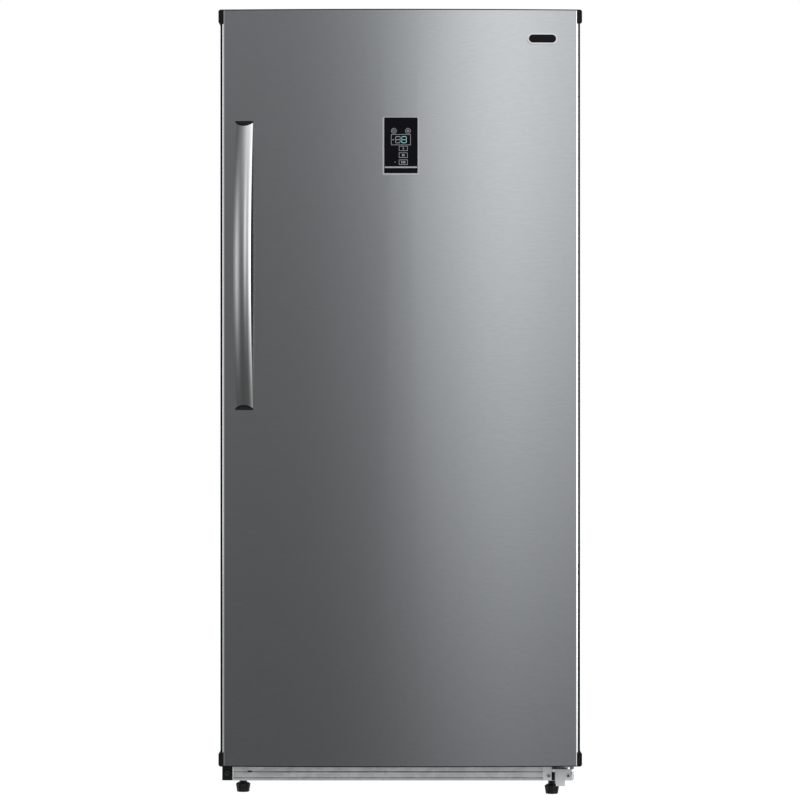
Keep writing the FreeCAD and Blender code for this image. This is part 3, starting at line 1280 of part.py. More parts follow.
def lamp_lens():
    """Clear lens under the lamp housing with a raised step inside it."""
    x0, x1, y0, y1, z0, _ = lamp_place()
    plate = box(x0, x1, y0, y1, z0, z0 + LAMP_T)
    plate = plate.makeChamfer(LAMP_T / 2, [e for e in plate.Edges if e.BoundBox.ZMax < z0 + 1e-6])
    step = LAMP_T + LENS_CLEAR
    return fuse([plate, box(x0 + step, x1 - step, y0 + step, y1 - step, z0 + LAMP_T, z0 + 2 * LAMP_T)])


def switch_box():
    """Room of the door switch behind the case's front flange."""
    front = CASE_FRONT_Y + CASE_T
    return box(SWITCH_X - SWITCH_W / 2, SWITCH_X + SWITCH_W / 2, front, front + SWITCH_D,
               SWITCH_Z - SWITCH_H / 2, SWITCH_Z + SWITCH_H / 2)


def switch_bore():
    """Hole in the case's flange for the plunger's guide."""
    start = (SWITCH_X, CASE_FRONT_Y - GUIDE_PROUD, SWITCH_Z)
    return many_sided(start, Y_AXIS, GUIDE_R, 2 * GUIDE_PROUD, SHANK_SIDES)


def switch_housing():
    """Door switch body behind the flange, with a guide for its plunger."""
    start = (SWITCH_X, CASE_FRONT_Y - GUIDE_PROUD, SWITCH_Z)
    bore = many_sided(start, Y_AXIS, PLUNGER_R + PLUNGER_CLEAR, GUIDE_PROUD + SWITCH_D, SHANK_SIDES)
    return fuse([switch_box(), switch_bore()]).cut(bore)


def switch_plunger():
    """Eight-sided plunger with a bevelled tip that the closed door holds in."""
    y0 = DOOR_BACK_Y + PLUNGER_GAP
    length = CASE_FRONT_Y + SWITCH_D - PLUNGER_TRAVEL - y0
    pin = many_sided((SWITCH_X, y0, SWITCH_Z), Y_AXIS, PLUNGER_R, length, SHANK_SIDES)
    return pin.makeChamfer(PLUNGER_R / 3, [e for e in pin.Edges if e.BoundBox.YMax < y0 + 1e-6])


# ---------------------------------------------------------------- evaporator and fan
def evaporator_cover():
    """Air duct cover in front of the evaporator: shallow box with outlets, an intake and the fan's ring."""
    half = CAVITY_HALF - COVER_MARGIN
    z0, z1 = STEP_TOP_Z + COVER_MARGIN, CAVITY_TOP_Z - COVER_MARGIN
    y0, y1 = COVER_FRONT_Y, CAVITY_REAR_Y
    outer = fillet_along(box(-half, half, y0, y1, z0, z1), "Y", CAVITY_R, lambda c: c.z > z1 - 1)
    inner = box(-half + COVER_T, half - COVER_T, y0 + COVER_T, y1 + 1, z0 - 1, z1 - COVER_T)
    inner = fillet_along(inner, "Y", CAVITY_R - COVER_T, lambda c: c.z > z1 - COVER_T - 1)
    ring_r = FAN_R + RING_CLEAR
    middle = (0, y0 + COVER_T, FAN_Z)
    ring = many_sided(middle, Y_AXIS, ring_r + RING_T, RING_LENGTH, ROLLER_SIDES)
    ring = ring.cut(way_for(middle, Y_AXIS, ring_r, RING_LENGTH, ROLLER_SIDES))
    return cut(fuse([outer.cut(inner), ring]), fan_grille_slots() + air_slots())


def fan_grille_slots():
    """Slots through the cover in front of the fan, each as long as the fan's circle allows."""
    reach = FAN_R - GRILLE_BAR
    slots = []
    for z in spread(FAN_Z - reach, FAN_Z + reach, FAN_SLOTS):
        half = math.sqrt(reach ** 2 - (abs(z - FAN_Z) + FAN_SLOT_H / 2) ** 2)
        slots.append(cover_slot(0, z, 2 * half, FAN_SLOT_H))
    return slots


def cover_slot(x, z, width, height):
    """A slot through the cover's front, about its middle."""
    return box(x - width / 2, x + width / 2, COVER_FRONT_Y - 1, COVER_FRONT_Y + COVER_T,
               z - height / 2, z + height / 2)


def air_slots():
    """Air outlets between the shelves and the intake at the cover's foot."""
    outlets = [cover_slot(side * OUTLET_X, shelf_z + OUTLET_RISE + row * 2.5 * OUTLET_H, OUTLET_W, OUTLET_H)
               for shelf_z in SHELF_ZS[1:] for side in (-1, 1) for row in (0, 1)]
    intake = [cover_slot(x, STEP_TOP_Z + INTAKE_RISE, INTAKE_W, OUTLET_H)
              for x in spread(-COIL_LENGTH / 2, COIL_LENGTH / 2, INTAKE_SLOTS)]
    return outlets + intake


def coil_y():
    """Depth of the evaporator coil's middle."""
    return (COVER_FRONT_Y + COVER_T + CAVITY_REAR_Y) / 2


def evaporator_coil():
    """Serpentine tube: straight passes joined by return bends, with an open end at each side."""
    y, half, radius = coil_y(), COIL_LENGTH / 2, COIL_PITCH / 2
    points = [Vector(-half, y, COIL_BOTTOM_Z)]
    for i in range(COIL_PASSES - 1):
        side = X_AXIS * (1 if i % 2 == 0 else -1)
        centre = side * half + Vector(0, y, COIL_BOTTOM_Z + (i + 0.5) * COIL_PITCH)
        points += bend_points(centre, Z_AXIS * -radius, side * radius)
    last_side = -1 if COIL_PASSES % 2 == 0 else 1
    points.append(Vector(last_side * half, y, COIL_TOP_Z))
    return tube_along(points, Z_AXIS * COIL_TUBE_R, HEAD_SIDES)


def bend_points(centre, first, middle):
    """Corners of a half-circle bend about a centre: it starts at centre + first and bulges towards middle."""
    turns = [math.pi * i / BEND_STEPS for i in range(BEND_STEPS + 1)]
    return [centre + first * math.cos(turn) + middle * math.sin(turn) for turn in turns]


def tube_along(points, corner, sides):
    """A flat-sided tube along a line of points; corner is a corner of its section, from the first point."""
    direction = (points[1] - points[0]).normalize()
    turns = [FreeCAD.Rotation(direction, 360.0 * i / sides) for i in range(sides)]
    corners = [points[0] + turn.multVec(corner) for turn in turns]
    section = closed_line(corners)
    return Part.makePolygon(points).makePipeShell([section], True, False, MITRED)


def evaporator_fins():
    """Thin fins with slots that hold the coil's passes two by two; the outer two reach the rear wall."""
    y = coil_y()
    z0 = COIL_BOTTOM_Z - FIN_MARGIN
    z1 = COIL_TOP_Z + FIN_MARGIN
    slots = []
    for i in range(0, COIL_PASSES, 2):
        low = COIL_BOTTOM_Z + i * COIL_PITCH - COIL_TUBE_R
        slots.append(box(-FAR, FAR, y - COIL_TUBE_R, y + COIL_TUBE_R,
                         low, low + COIL_PITCH + 2 * COIL_TUBE_R))
    fins = []
    for i, x in enumerate(spread(-COIL_LENGTH / 2, COIL_LENGTH / 2, FIN_COUNT)):
        rear = CAVITY_REAR_Y if i in (0, FIN_COUNT - 1) else y + FIN_DEPTH / 2
        fin = box(x - FIN_T / 2, x + FIN_T / 2, y - FIN_DEPTH / 2, rear, z0, z1)
        fins.append(fin.cut(slots))
    return Part.makeCompound(fins)


def defrost_heater():
    """Sheathed heater under the coil with an end boot at each side and hangers up to the outer fins."""
    y = coil_y()
    z = COIL_BOTTOM_Z - HEATER_DROP
    half = COIL_LENGTH / 2
    bar = many_sided((-half, y, z), X_AXIS, HEATER_R, COIL_LENGTH, TUBE_SIDES)
    boots = [many_sided((side * half - BOOT_LENGTH / 2, y, z), X_AXIS, BOOT_R, BOOT_LENGTH, TUBE_SIDES)
             for side in (-1, 1)]
    fin_xs = spread(-half, half, FIN_COUNT)
    hangers = [box(x - HANGER_T / 2, x + HANGER_T / 2, y - HEATER_R / 2, y + HEATER_R / 2, z,
                   COIL_BOTTOM_Z - FIN_MARGIN) for x in (fin_xs[0], fin_xs[-1])]
    return fuse([bar] + boots + hangers)


def fan_motor():
    """Motor behind the fan on a cross bar that is fixed to the ring."""
    front = fan_front_y() + FAN_DEPTH + MOTOR_GAP
    reach = FAN_R + RING_CLEAR + RING_T
    bar_y = COVER_FRONT_Y + COVER_T + RING_LENGTH
    body = many_sided((0, front, FAN_Z), Y_AXIS, MOTOR_R, MOTOR_LENGTH, ROLLER_SIDES)
    bar = box(-reach, reach, bar_y, bar_y + MOTOR_BAR_T, FAN_Z - MOTOR_BAR_H / 2, FAN_Z + MOTOR_BAR_H / 2)
    shaft = many_sided((0, front - SHAFT_LENGTH, FAN_Z), Y_AXIS, FAN_SHAFT_R, SHAFT_LENGTH, TUBE_SIDES)
    return fuse([body, bar, shaft])


def fan_front_y():
    """Depth of the fan's front, behind the cover."""
    return COVER_FRONT_Y + COVER_T + FAN_GAP


def evaporator_fan():
    """Hub with cambered blades that runs in the cover's ring."""
    y0 = fan_front_y()
    hub = many_sided((0, y0, FAN_Z), Y_AXIS, FAN_HUB_R, FAN_DEPTH, ROLLER_SIDES)
    blades = [fan_blade(y0, math.degrees(2 * math.pi * i / FAN_BLADES)) for i in range(FAN_BLADES)]
    bore_start = y0 + FAN_DEPTH + MOTOR_GAP - SHAFT_LENGTH - SHAFT_END_ROOM
    bore = way_for((0, bore_start, FAN_Z), Y_AXIS, FAN_SHAFT_R + SHAFT_CLEAR, FAN_DEPTH, TUBE_SIDES)
    return fuse([hub] + blades).cut(bore)


def fan_blade(y0, turn):
    """One blade: a plate with a bend along its middle, set at a pitch, trimmed to the fan's outer circle."""
    half = BLADE_CHORD / 2
    front = [(-half, 0), (0, -BLADE_CAMBER), (half, 0)]
    outline = front + [(x, y + BLADE_T) for x, y in reversed(front)]
    section = Part.Face(closed_line([Vector(x, y, 0) for x, y in outline]))
    section.rotate(Vector(0, 0, 0), Z_AXIS, BLADE_PITCH)
    section.translate(Vector(0, y0 + FAN_DEPTH / 2, FAN_Z + FAN_HUB_R / 2))
    circle = many_sided((0, y0, FAN_Z), Y_AXIS, FAN_R, FAN_DEPTH, 2 * ROLLER_SIDES)
    blade = section.extrude(Z_AXIS * FAN_R).common(circle)
    blade.rotate(Vector(0, 0, FAN_Z), Y_AXIS, turn)
    return blade


# ---------------------------------------------------------------- drain and machine bay
def drain_bore():
    """Way of the drain tube through liner, foam and bay panel."""
    return many_sided((0, coil_y(), BAY_TOP_Z - BAY_SHEET_T), Z_AXIS, DRAIN_R,
                      STEP_TOP_Z - BAY_TOP_Z + BAY_SHEET_T, TUBE_SIDES)


def drain_tube():
    """Drain tube from the step under the evaporator down into the tray."""
    start = (0, coil_y(), tray_z() + DRAIN_RISE)
    length = STEP_TOP_Z - start[2]
    outer = many_sided(start, Z_AXIS, DRAIN_R, length, TUBE_SIDES)
    return outer.cut(many_sided(start, Z_AXIS, DRAIN_R - DRAIN_T, length, TUBE_SIDES))


def plate_z():
    """Top of the compressor's mounting plate."""
    return BASE_Z + BASE_SHEET_T + MOUNT_PLATE_T


def compressor_y():
    """Depth of the compressor's middle."""
    return CASE_REAR_Y - BAY_DEPTH / 2


def compressor_mount_plate():
    """Plate across the base channels that carries the compressor, with studs for its grommets."""
    half = BASE_HALF_W - BASE_SHEET_T
    y = compressor_y()
    plate = box(-half, half, y - MOUNT_PLATE_D / 2, y + MOUNT_PLATE_D / 2, BASE_Z + BASE_SHEET_T, plate_z())
    studs = [stud(x, yy, STUD_LENGTH) for x, yy in grommet_places()]
    return fuse([plate] + studs)


def stud(x, y, length):
    """A stud of the mounting plate, or the hole that it fills."""
    return many_sided((x, y, plate_z()), Z_AXIS, STUD_R, length, SHANK_SIDES)


def grommet_places():
    """Where the compressor's feet rest."""
    x, y = COMPRESSOR_X, compressor_y()
    return [(x + across * GROMMET_X, y + along * GROMMET_Y) for across in (-1, 1) for along in (-1, 1)]


def compressor_grommets():
    """Rubber grommets under the compressor's feet."""
    return Part.makeCompound([
        many_sided((x, y, plate_z()), Z_AXIS, GROMMET_R, GROMMET_H, TUBE_SIDES).cut(stud(x, y, GROMMET_H))
        for x, y in grommet_places()])


def compressor():
    """Welded compressor shell with a seam flange, on a foot plate, with a terminal box on its side."""
    x, y, r = COMPRESSOR_X, compressor_y(), COMPRESSOR_R
    z_foot = plate_z() + GROMMET_H
    z0 = z_foot + FOOT_PLATE_T
    z1 = z0 + COMPRESSOR_H
    foot = box(x - FOOT_PLATE_X, x + FOOT_PLATE_X, y - FOOT_PLATE_Y, y + FOOT_PLATE_Y, z_foot, z0)
    holes = [way_for((gx, gy, z_foot), Z_AXIS, STUD_R + STUD_CLEAR, FOOT_PLATE_T, SHANK_SIDES)
             for gx, gy in grommet_places()]
    brow = DOME_H * (1 - math.sqrt(0.5))
    shell = tapered((x, y), ROLLER_SIDES, [
        (r - DOME_H, z0), (r - brow, z0 + brow), (r, z0 + DOME_H),
        (r, z1 - DOME_H), (r - brow, z1 - brow), (r - DOME_H, z1)])
    seam = many_sided((x, y, z0 + SEAM_RISE), Z_AXIS, r + SEAM_PROUD, SEAM_H, ROLLER_SIDES)
    half = TERMINAL_SIZE / 2
    middle = z0 + SEAM_RISE / 2
    terminal = box(x - r - TERMINAL_PROUD, x - r + DOME_H, y - half, y + half, middle - half, middle + half)
    return fuse([shell, seam, foot.cut(holes), terminal])


def tray_z():
    """Underside of the drip tray, clear above the compressor."""
    return plate_z() + GROMMET_H + FOOT_PLATE_T + COMPRESSOR_H + TRAY_GAP


def drip_tray():
    """Tray that catches the defrost water, fixed to the bay's front wall."""
    y0, z0, half = BAY_FRONT_Y + BAY_SHEET_T, tray_z(), TRAY_W / 2
    body = box(-half, half, y0, y0 + TRAY_D, z0, z0 + TRAY_H)
    room = box(-half + TRAY_T, half - TRAY_T, y0 + TRAY_T, y0 + TRAY_D - TRAY_T, z0 + TRAY_T, z0 + TRAY_H)
    return body.cut(room)


def refrigerant_pipes():
    """Filter drier with its pipes brazed on: from the compressor up to the foam."""
    x, y, z0 = DRIER_X, compressor_y() - DRIER_FORWARD, BASE_Z + DRIER_RISE
    drier = many_sided((x, y, z0), Z_AXIS, DRIER_R, DRIER_LENGTH, TUBE_SIDES)
    drier = drier.makeChamfer(DRIER_CHAMFER, [e for e in drier.Edges if e.BoundBox.ZLength < 1e-6])
    top_z = z0 + DRIER_LENGTH
    upper = many_sided((x, y, top_z), Z_AXIS, PIPE_R, BAY_TOP_Z - BAY_SHEET_T - top_z, HEAD_SIDES)
    low_z = z0 - PIPE_BEND - DRIER_R
    middle = Vector(x + PIPE_BEND, y, low_z + PIPE_BEND)
    turns = [math.pi / 2 * i / (BEND_STEPS / 2) for i in range(BEND_STEPS // 2 + 1)]
    bend = [middle - X_AXIS * (PIPE_BEND * math.cos(turn)) - Z_AXIS * (PIPE_BEND * math.sin(turn))
            for turn in turns]
    points = [Vector(x, y, z0)] + bend + [Vector(COMPRESSOR_X, y, low_z)]
    lower = tube_along(points, X_AXIS * PIPE_R, HEAD_SIDES)
    return fuse([drier, upper, lower.cut(compressor())])


def condenser_tube():
    """Condenser tube pressed flat against each side panel: long upright runs and return bends."""
    x = -CASE_HALF + CASE_T + CONDENSER_R
    y0, radius = CASE_FRONT_Y + CONDENSER_FRONT_GAP, CONDENSER_PITCH / 2
    points = [Vector(x, y0, CONDENSER_BOTTOM_Z)]
    for i in range(CONDENSER_RUNS - 1):
        end, up = (CONDENSER_TOP_Z, 1) if i % 2 == 0 else (CONDENSER_BOTTOM_Z, -1)
        centre = Vector(x, y0 + (i + 0.5) * CONDENSER_PITCH, end)
        points += bend_points(centre, Y_AXIS * -radius, Z_AXIS * (up * radius))
    last_z = CONDENSER_BOTTOM_Z if CONDENSER_RUNS % 2 == 0 else CONDENSER_TOP_Z
    points.append(Vector(x, y0 + (CONDENSER_RUNS - 1) * CONDENSER_PITCH, last_z))
    tube = tube_along(points, Vector(CONDENSER_R, CONDENSER_R, 0), FLAT_TUBE_SIDES)
    return Part.makeCompound(both_sides(tube))


def condenser_grooves():
    """Square grooves in the foam's sides that hold the condenser tube."""
    x0, r = -CASE_HALF + CASE_T, CONDENSER_R
    y0 = CASE_FRONT_Y + CONDENSER_FRONT_GAP
    reach = CONDENSER_PITCH / 2 + r
    grooves = []
    for i in range(CONDENSER_RUNS):
        y = y0 + i * CONDENSER_PITCH
        grooves.append(box(x0, x0 + 2 * r, y - r, y + r, CONDENSER_BOTTOM_Z, CONDENSER_TOP_Z))
        if i < CONDENSER_RUNS - 1:
            low, high = CONDENSER_TOP_Z, CONDENSER_TOP_Z + reach
            if i % 2:
                low, high = CONDENSER_BOTTOM_Z - reach, CONDENSER_BOTTOM_Z
            grooves.append(box(x0, x0 + 2 * r, y - r, y + CONDENSER_PITCH + r, low, high))
    return [side for groove in grooves for side in both_sides(groove)]


def cover_screw_places():
    """Where the screws hold the machine cover: x and z on its face."""
    half, inset = CASE_HALF - COVER_SCREW_SET, COVER_SCREW_SET
    return [(side * half, z) for side in (-1, 1) for z in (DECK_Z + inset, BAY_TOP_Z - inset)]


def machine_cover():
    """Rear cover of the machine bay with rows of vent slots and a hole for the supply gland."""
    half = CASE_HALF - MACHINE_COVER_T
    y0 = CASE_REAR_Y
    plate = box(-half, half, y0, y0 + MACHINE_COVER_T, DECK_Z, BAY_TOP_Z - MACHINE_COVER_T)
    tools = [screw_hole((x, y0 - 1, z), Y_AXIS, MACHINE_COVER_T + 2) for x, z in cover_screw_places()]
    tools.append(gland_body(y0, MACHINE_COVER_T))
    for z in spread(DECK_Z + GRILLE_RISE, BAY_TOP_Z, GRILLE_ROWS):
        for x in spread(-half, half, GRILLE_COLUMNS):
            tools.append(flat_plate(GRILLE_SLOT_W, GRILLE_SLOT_H, MACHINE_COVER_T, (x, y0, z)))
    return cut(plate, tools)


def gland_place():
    """X and Z of the supply cord's gland in the machine cover."""
    return GLAND_EDGE - CASE_HALF, DECK_Z + GLAND_RISE


def gland_body(y0, length):
    """The square body of the gland, or the hole that it fills."""
    x, z = gland_place()
    return flat_plate(2 * GLAND_HALF, 2 * GLAND_HALF, length, (x, y0, z))


def cord_gland():
    """Empty supply gland: a square flanged bush with a round way through it."""
    x, z = gland_place()
    y0 = CASE_REAR_Y - GLAND_INSIDE
    length = GLAND_INSIDE + MACHINE_COVER_T + 2 * GLAND_FLANGE_T
    side = 2 * (GLAND_HALF + GLAND_FLANGE_T)
    flange = flat_plate(side, side, GLAND_FLANGE_T, (x, CASE_REAR_Y + MACHINE_COVER_T, z))
    return fuse([gland_body(y0, length), flange]).cut(
        many_sided((x, y0, z), Y_AXIS, GLAND_BORE_R, length, TUBE_SIDES))


def control_box():
    """Closed box of the main control on the bay's front wall, with a lid step and a socket block."""
    w, d, h = CONTROL_BOX_W, CONTROL_BOX_D, CONTROL_BOX_H
    x0, y0, z0 = CONTROL_BOX_EDGE - CASE_HALF, BAY_FRONT_Y + BAY_SHEET_T, DECK_Z + CONTROL_BOX_RISE
    step = LID_STEP
    body = box(x0, x0 + w, y0, y0 + d, z0, z0 + h)
    lid = box(x0 - step, x0 + w + step, y0 + d, y0 + d + 3 * step, z0 - step, z0 + h + step)
    lid = lid.makeChamfer(step, [e for e in lid.Edges if e.BoundBox.YMin > y0 + d + 3 * step - 1e-6])
    socket = box(x0 + w, x0 + w + 4 * step, y0 + d / 4, y0 + 3 * d / 4, z0 + h / 4, z0 + 3 * h / 4)
    return fuse([body, lid, socket])


# ---------------------------------------------------------------- feet and rollers
def foot_places():
    """X and Y of the two levelling feet."""
    return [(FOOT_LEFT_EDGE - CASE_HALF, CASE_FRONT_Y + FOOT_LEFT_BACK),
            (CASE_HALF - FOOT_RIGHT_EDGE, CASE_FRONT_Y + FOOT_RIGHT_BACK)]


def levelling_foot(x, y):
    """Foot with a lobed rim, tapered down to the floor, with a hexagon neck and a stem."""
    def ring(radius, z):
        step = math.pi / (2 * FOOT_LOBES)
        valley = radius * (1 - LOBE_SHARE)
        reaches = [radius, radius, valley, valley] * FOOT_LOBES
        return [Vector(reach * math.cos(i * step), reach * math.sin(i * step), z)
                for i, reach in enumerate(reaches)]

    body = flat_sided([ring(FOOT_BASE_R, 0), ring(FOOT_R, FOOT_RIM_Z), ring(FOOT_R - FOOT_SHOULDER, FOOT_H)])
    neck = many_sided((0, 0, FOOT_H), Z_AXIS, NUT_R, BASE_Z - NECK_GAP - FOOT_H, HEAD_SIDES)
    stem = many_sided((0, 0, FOOT_H), Z_AXIS, STEM_R, BASE_Z + STEM_RISE - FOOT_H, TUBE_SIDES)
    foot = fuse([body, neck, stem])
    foot.translate(Vector(x, y, 0))
    return foot


def roller_place():
    """Y and Z of the rear rollers' axle."""
    return CASE_REAR_Y - ROLLER_BACK, ROLLER_R


def rear_roller():
    """The left rear roller, a plain drum on its axle."""
    y, z = roller_place()
    start = (-ROLLER_X - ROLLER_W / 2, y, z)
    drum = many_sided(start, X_AXIS, ROLLER_R, ROLLER_W, ROLLER_SIDES)
    return drum.cut(way_for(start, X_AXIS, AXLE_R + AXLE_CLEAR, ROLLER_W, TUBE_SIDES))


def roller_brackets():
    """Two forked brackets under the base, each with its riveted axle."""
    y, z = roller_place()
    inner = ROLLER_W / 2 + FORK_GAP
    top, low = BASE_Z, z - 2 * AXLE_R
    reach, tip = ROLLER_R + FORK_TAB, 2 * AXLE_R
    pieces = []
    for x in (-ROLLER_X - inner - FORK_T, -ROLLER_X + inner):
        cheek = [(x, y - reach, top), (x, y - reach, top - FORK_T), (x, y - tip, low), (x, y + tip, low),
                 (x, y + reach, top - FORK_T), (x, y + reach, top)]
        pieces.append(prism(cheek, X_AXIS, FORK_T))
    for y0 in (y - reach, y + ROLLER_R):
        pieces.append(box(-ROLLER_X - inner, -ROLLER_X + inner, y0, y0 + FORK_TAB, top - FORK_T, top))
    half = inner + FORK_T + 1
    pieces.append(many_sided((-ROLLER_X - half, y, z), X_AXIS, AXLE_R, 2 * half, TUBE_SIDES))
    return Part.makeCompound(both_sides(fuse(pieces)))


# ---------------------------------------------------------------- all pieces
def all_pieces():
    """Every node's name and solid."""
    left, right = foot_places()
    roller_left = rear_roller()
    pieces = {
        "outer_case": outer_case(),
        "rear_panel": rear_panel(),
        "cabinet_foam": cabinet_foam(),
        "inner_liner": inner_liner(),
        "machine_bay_panel": machine_bay_panel(),
        "base_pan": base_pan(),
        "front_cross_beam": front_cross_beam(),
        "corner_block": corner_block(),
        "lower_hinge_bracket": lower_hinge_bracket(),
        "top_hinge_plate": top_hinge_plate(),
        "top_hinge_cover": top_hinge_cover(),
        "cabinet_screws": cabinet_screws(),
        "rear_spacers": rear_spacers(),
        "evaporator_cover": evaporator_cover(),
        "evaporator_coil": evaporator_coil(),
        "evaporator_fins": evaporator_fins(),
        "defrost_heater": defrost_heater(),
        "fan_motor": fan_motor(),
        "evaporator_fan": evaporator_fan(),
        "drain_tube": drain_tube(),
        "drip_tray": drip_tray(),
        "lamp_housing": lamp_housing(),
        "lamp_lens": lamp_lens(),
        "shelf_glass": shelf_glass(),
        "shelf_trims": shelf_trims(),
        "basket": basket(),
        "switch_housing": switch_housing(),
        "switch_plunger": switch_plunger(),
        "compressor": compressor(),
        "compressor_mount_plate": compressor_mount_plate(),
        "compressor_grommets": compressor_grommets(),
        "refrigerant_pipes": refrigerant_pipes(),
        "condenser_tube": condenser_tube(),
        "machine_cover": machine_cover(),
        "cord_gland": cord_gland(),
        "control_box": control_box(),
        "foot_left": levelling_foot(*left),
        "foot_right": levelling_foot(*right),
        "roller_left": roller_left,
        "roller_right": both_sides(roller_left)[1],
        "roller_brackets": roller_brackets(),
        "door_skin": door_skin(),
        "side_trims": side_trims(),
        "door_top_cap": door_top_cap(),
        "door_bottom_cap": door_bottom_cap(),
        "door_foam": door_foam(),
        "door_liner": door_liner(),
        "door_gasket": door_gasket(),
        "hinge_bushings": hinge_bushings(),
        "handle_bar": handle_bar(),
        "handle_end_caps": handle_end_caps(),
        "handle_screws": handle_screws(),
        "panel_bezel": panel_bezel(),
        "panel_glass": panel_glass(),
        "panel_board": panel_board(),
        "badge_rim": badge_rim(),
    }
    for number, z in enumerate(BIN_ZS, start=1):
        pieces[f"door_bin_{number}"] = door_bin(z)
    return pieces


def main():
    """Write one file per piece and print each piece's size."""
    os.makedirs("parts", exist_ok=True)
    for name, shape in all_pieces().items():
        size = shape.BoundBox
        print(f"{name:24s} solids {len(shape.Solids):2d}  volume {shape.Volume / 1000:10.2f} cm3  "
              f"x {size.XMin:8.1f} {size.XMax:8.1f}  y {size.YMin:8.1f} {size.YMax:8.1f}  "
              f"z {size.ZMin:8.1f} {size.ZMax:8.1f}  {'ok' if shape.isValid() else 'NOT VALID'}")
        shape.exportStep(f"parts/{name}.step")


main()
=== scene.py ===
"""Looks of the upright freezer: finishes, panel symbols, small front details, studio and camera."""
import json
import math

import bmesh
import bpy
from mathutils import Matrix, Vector


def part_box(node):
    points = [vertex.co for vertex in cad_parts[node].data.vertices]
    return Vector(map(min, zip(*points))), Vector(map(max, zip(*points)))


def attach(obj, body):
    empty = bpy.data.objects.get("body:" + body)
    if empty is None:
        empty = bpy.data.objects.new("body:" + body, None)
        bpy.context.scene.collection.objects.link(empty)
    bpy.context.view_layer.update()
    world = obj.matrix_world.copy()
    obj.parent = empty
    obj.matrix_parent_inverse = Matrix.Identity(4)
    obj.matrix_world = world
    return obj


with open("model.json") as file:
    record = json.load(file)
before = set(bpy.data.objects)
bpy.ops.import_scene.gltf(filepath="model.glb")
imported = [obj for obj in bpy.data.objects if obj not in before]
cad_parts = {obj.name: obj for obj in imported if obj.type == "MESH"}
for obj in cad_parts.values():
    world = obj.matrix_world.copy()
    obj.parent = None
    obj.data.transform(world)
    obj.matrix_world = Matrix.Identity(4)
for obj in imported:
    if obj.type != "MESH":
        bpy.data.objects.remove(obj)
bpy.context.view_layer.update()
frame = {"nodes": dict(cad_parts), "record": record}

# ---------------------------------------------------------------- camera and studio
EDGE_PLANE_Y = -0.321         # plane of the door's side edges, where the picture's scale was measured
CAMERA_DISTANCE = 6.5         # from that plane
CAMERA_X = -0.0005
CAMERA_Z = 0.785
FRAME_WIDTH = 1.5774          # what the picture spans in that plane
SENSOR = 36.0                 # millimetres

FLOOR_FRONT_Y = -0.53
FLOOR_REACH = 20.0
FLOOR_SHARE = 0.82            # share of the floor's own white; the rest takes light and shadow
FLOOR_WHITE = 1.16
FLOOR_COLOUR = (0.8, 0.8, 0.8)
FLOOR_ROUGHNESS = 0.9
WORLD_LEVEL = 0.62
WHITE = (1, 1, 1, 1)

DOME_RADIUS = 9.0             # the studio's graded wall that polished metal shows
DOME_Z = 0.8
DOME_TURN = 130               # degrees to each side of the front
DOME_LOW = -45                # degrees above the level
DOME_HIGH = 75
DOME_STEP = 5
DOME_BASE = 0.090

# soft boxes on the wall: degrees to the right, degrees up, half width, half height, level
SOFT_BOXES = [
    (39.5, 7.0, 11.2, 21.5, 3.0),       # right
    (7.8, 11.0, 6.8, 16.5, 0.82),       # middle
    (-38.5, 5.0, 13.5, 17.8, 0.66),     # left
    (-100.0, 8.0, 19.9, 60.6, 3.2),     # far left
    (28.0, 57.0, 44.0, 39.0, 1.15),     # high on the right
    (100.0, 10.0, 31.2, 46.8, 7.0),     # far right
]

# name, place, aimed at, size, watts
LAMPS = [
    ("key_lamp", (2.6, -4.2, 3.0), (0.0, 0.0, 0.8), 2.0, 60.0),
    ("left_lamp", (-3.8, -2.6, 1.8), (0.0, 0.0, 0.8), 2.0, 30.0),
    ("rear_lamp", (1.2, 4.6, 2.6), (0.0, 0.0, 0.8), 2.4, 60.0),
    ("top_lamp", (0.0, 0.0, 4.2), (0.0, 0.0, 0.0), 2.4, 30.0),
]

# ---------------------------------------------------------------- panel
# each drop is measured down from the top of the glass
LINE_W = 0.0006
SYMBOL_T = 0.0003
MITRE_LIMIT = 0.4             # smallest cosine used where a line turns, so that no corner grows long
ROUND_X = 0.0139              # the two round symbols, each side of the middle
ROUND_DROP = 0.0262
ROUND_R = 0.0050
RING_CORNERS = 24
MARK_SHARE = 0.62             # reach of the marks in a ring, as a share of its radius
POWER_SHARE = 0.5             # radius of the power sign's arc, likewise
POWER_GAP = 40                # degrees left open on each side of the arc's top
POWER_STEPS = 12
SPOKE_TURNS = (0, 60, 120)
FRAME_X = 0.0189
FRAME_DROP = (0.0334, 0.0538)
DIGIT_XS = (-0.0059, 0.0062)
DIGIT_W = 0.0090
DIGIT_H = 0.0125
DIGIT_LINE = 0.0010
DIGIT_GAP_SHARE = 0.6         # how far the lines' ends stay from a digit's corners, in line widths
MINUS_X = (-0.0168, -0.0134)
BOXED_X = (-0.0035, 0.0128)
BOXED_DROPS = [(0.0564, 0.0652), (0.0694, 0.0788), (0.0832, 0.0926)]
BAR_PITCH = 0.0030            # one, two and three bars in the three small frames
BAR_INSET = 0.0024
BAR_W = 0.0013
DOT_X = -0.0115               # a dot to the left of the last small frame
DOT_DROP = 0.0876
DOT_REACH = 0.0008
DOT_W = 0.0012
BAND_DROP = 0.0963            # bright line under the symbols
BAND_W = 0.0030
BAND_INSET = 0.0010

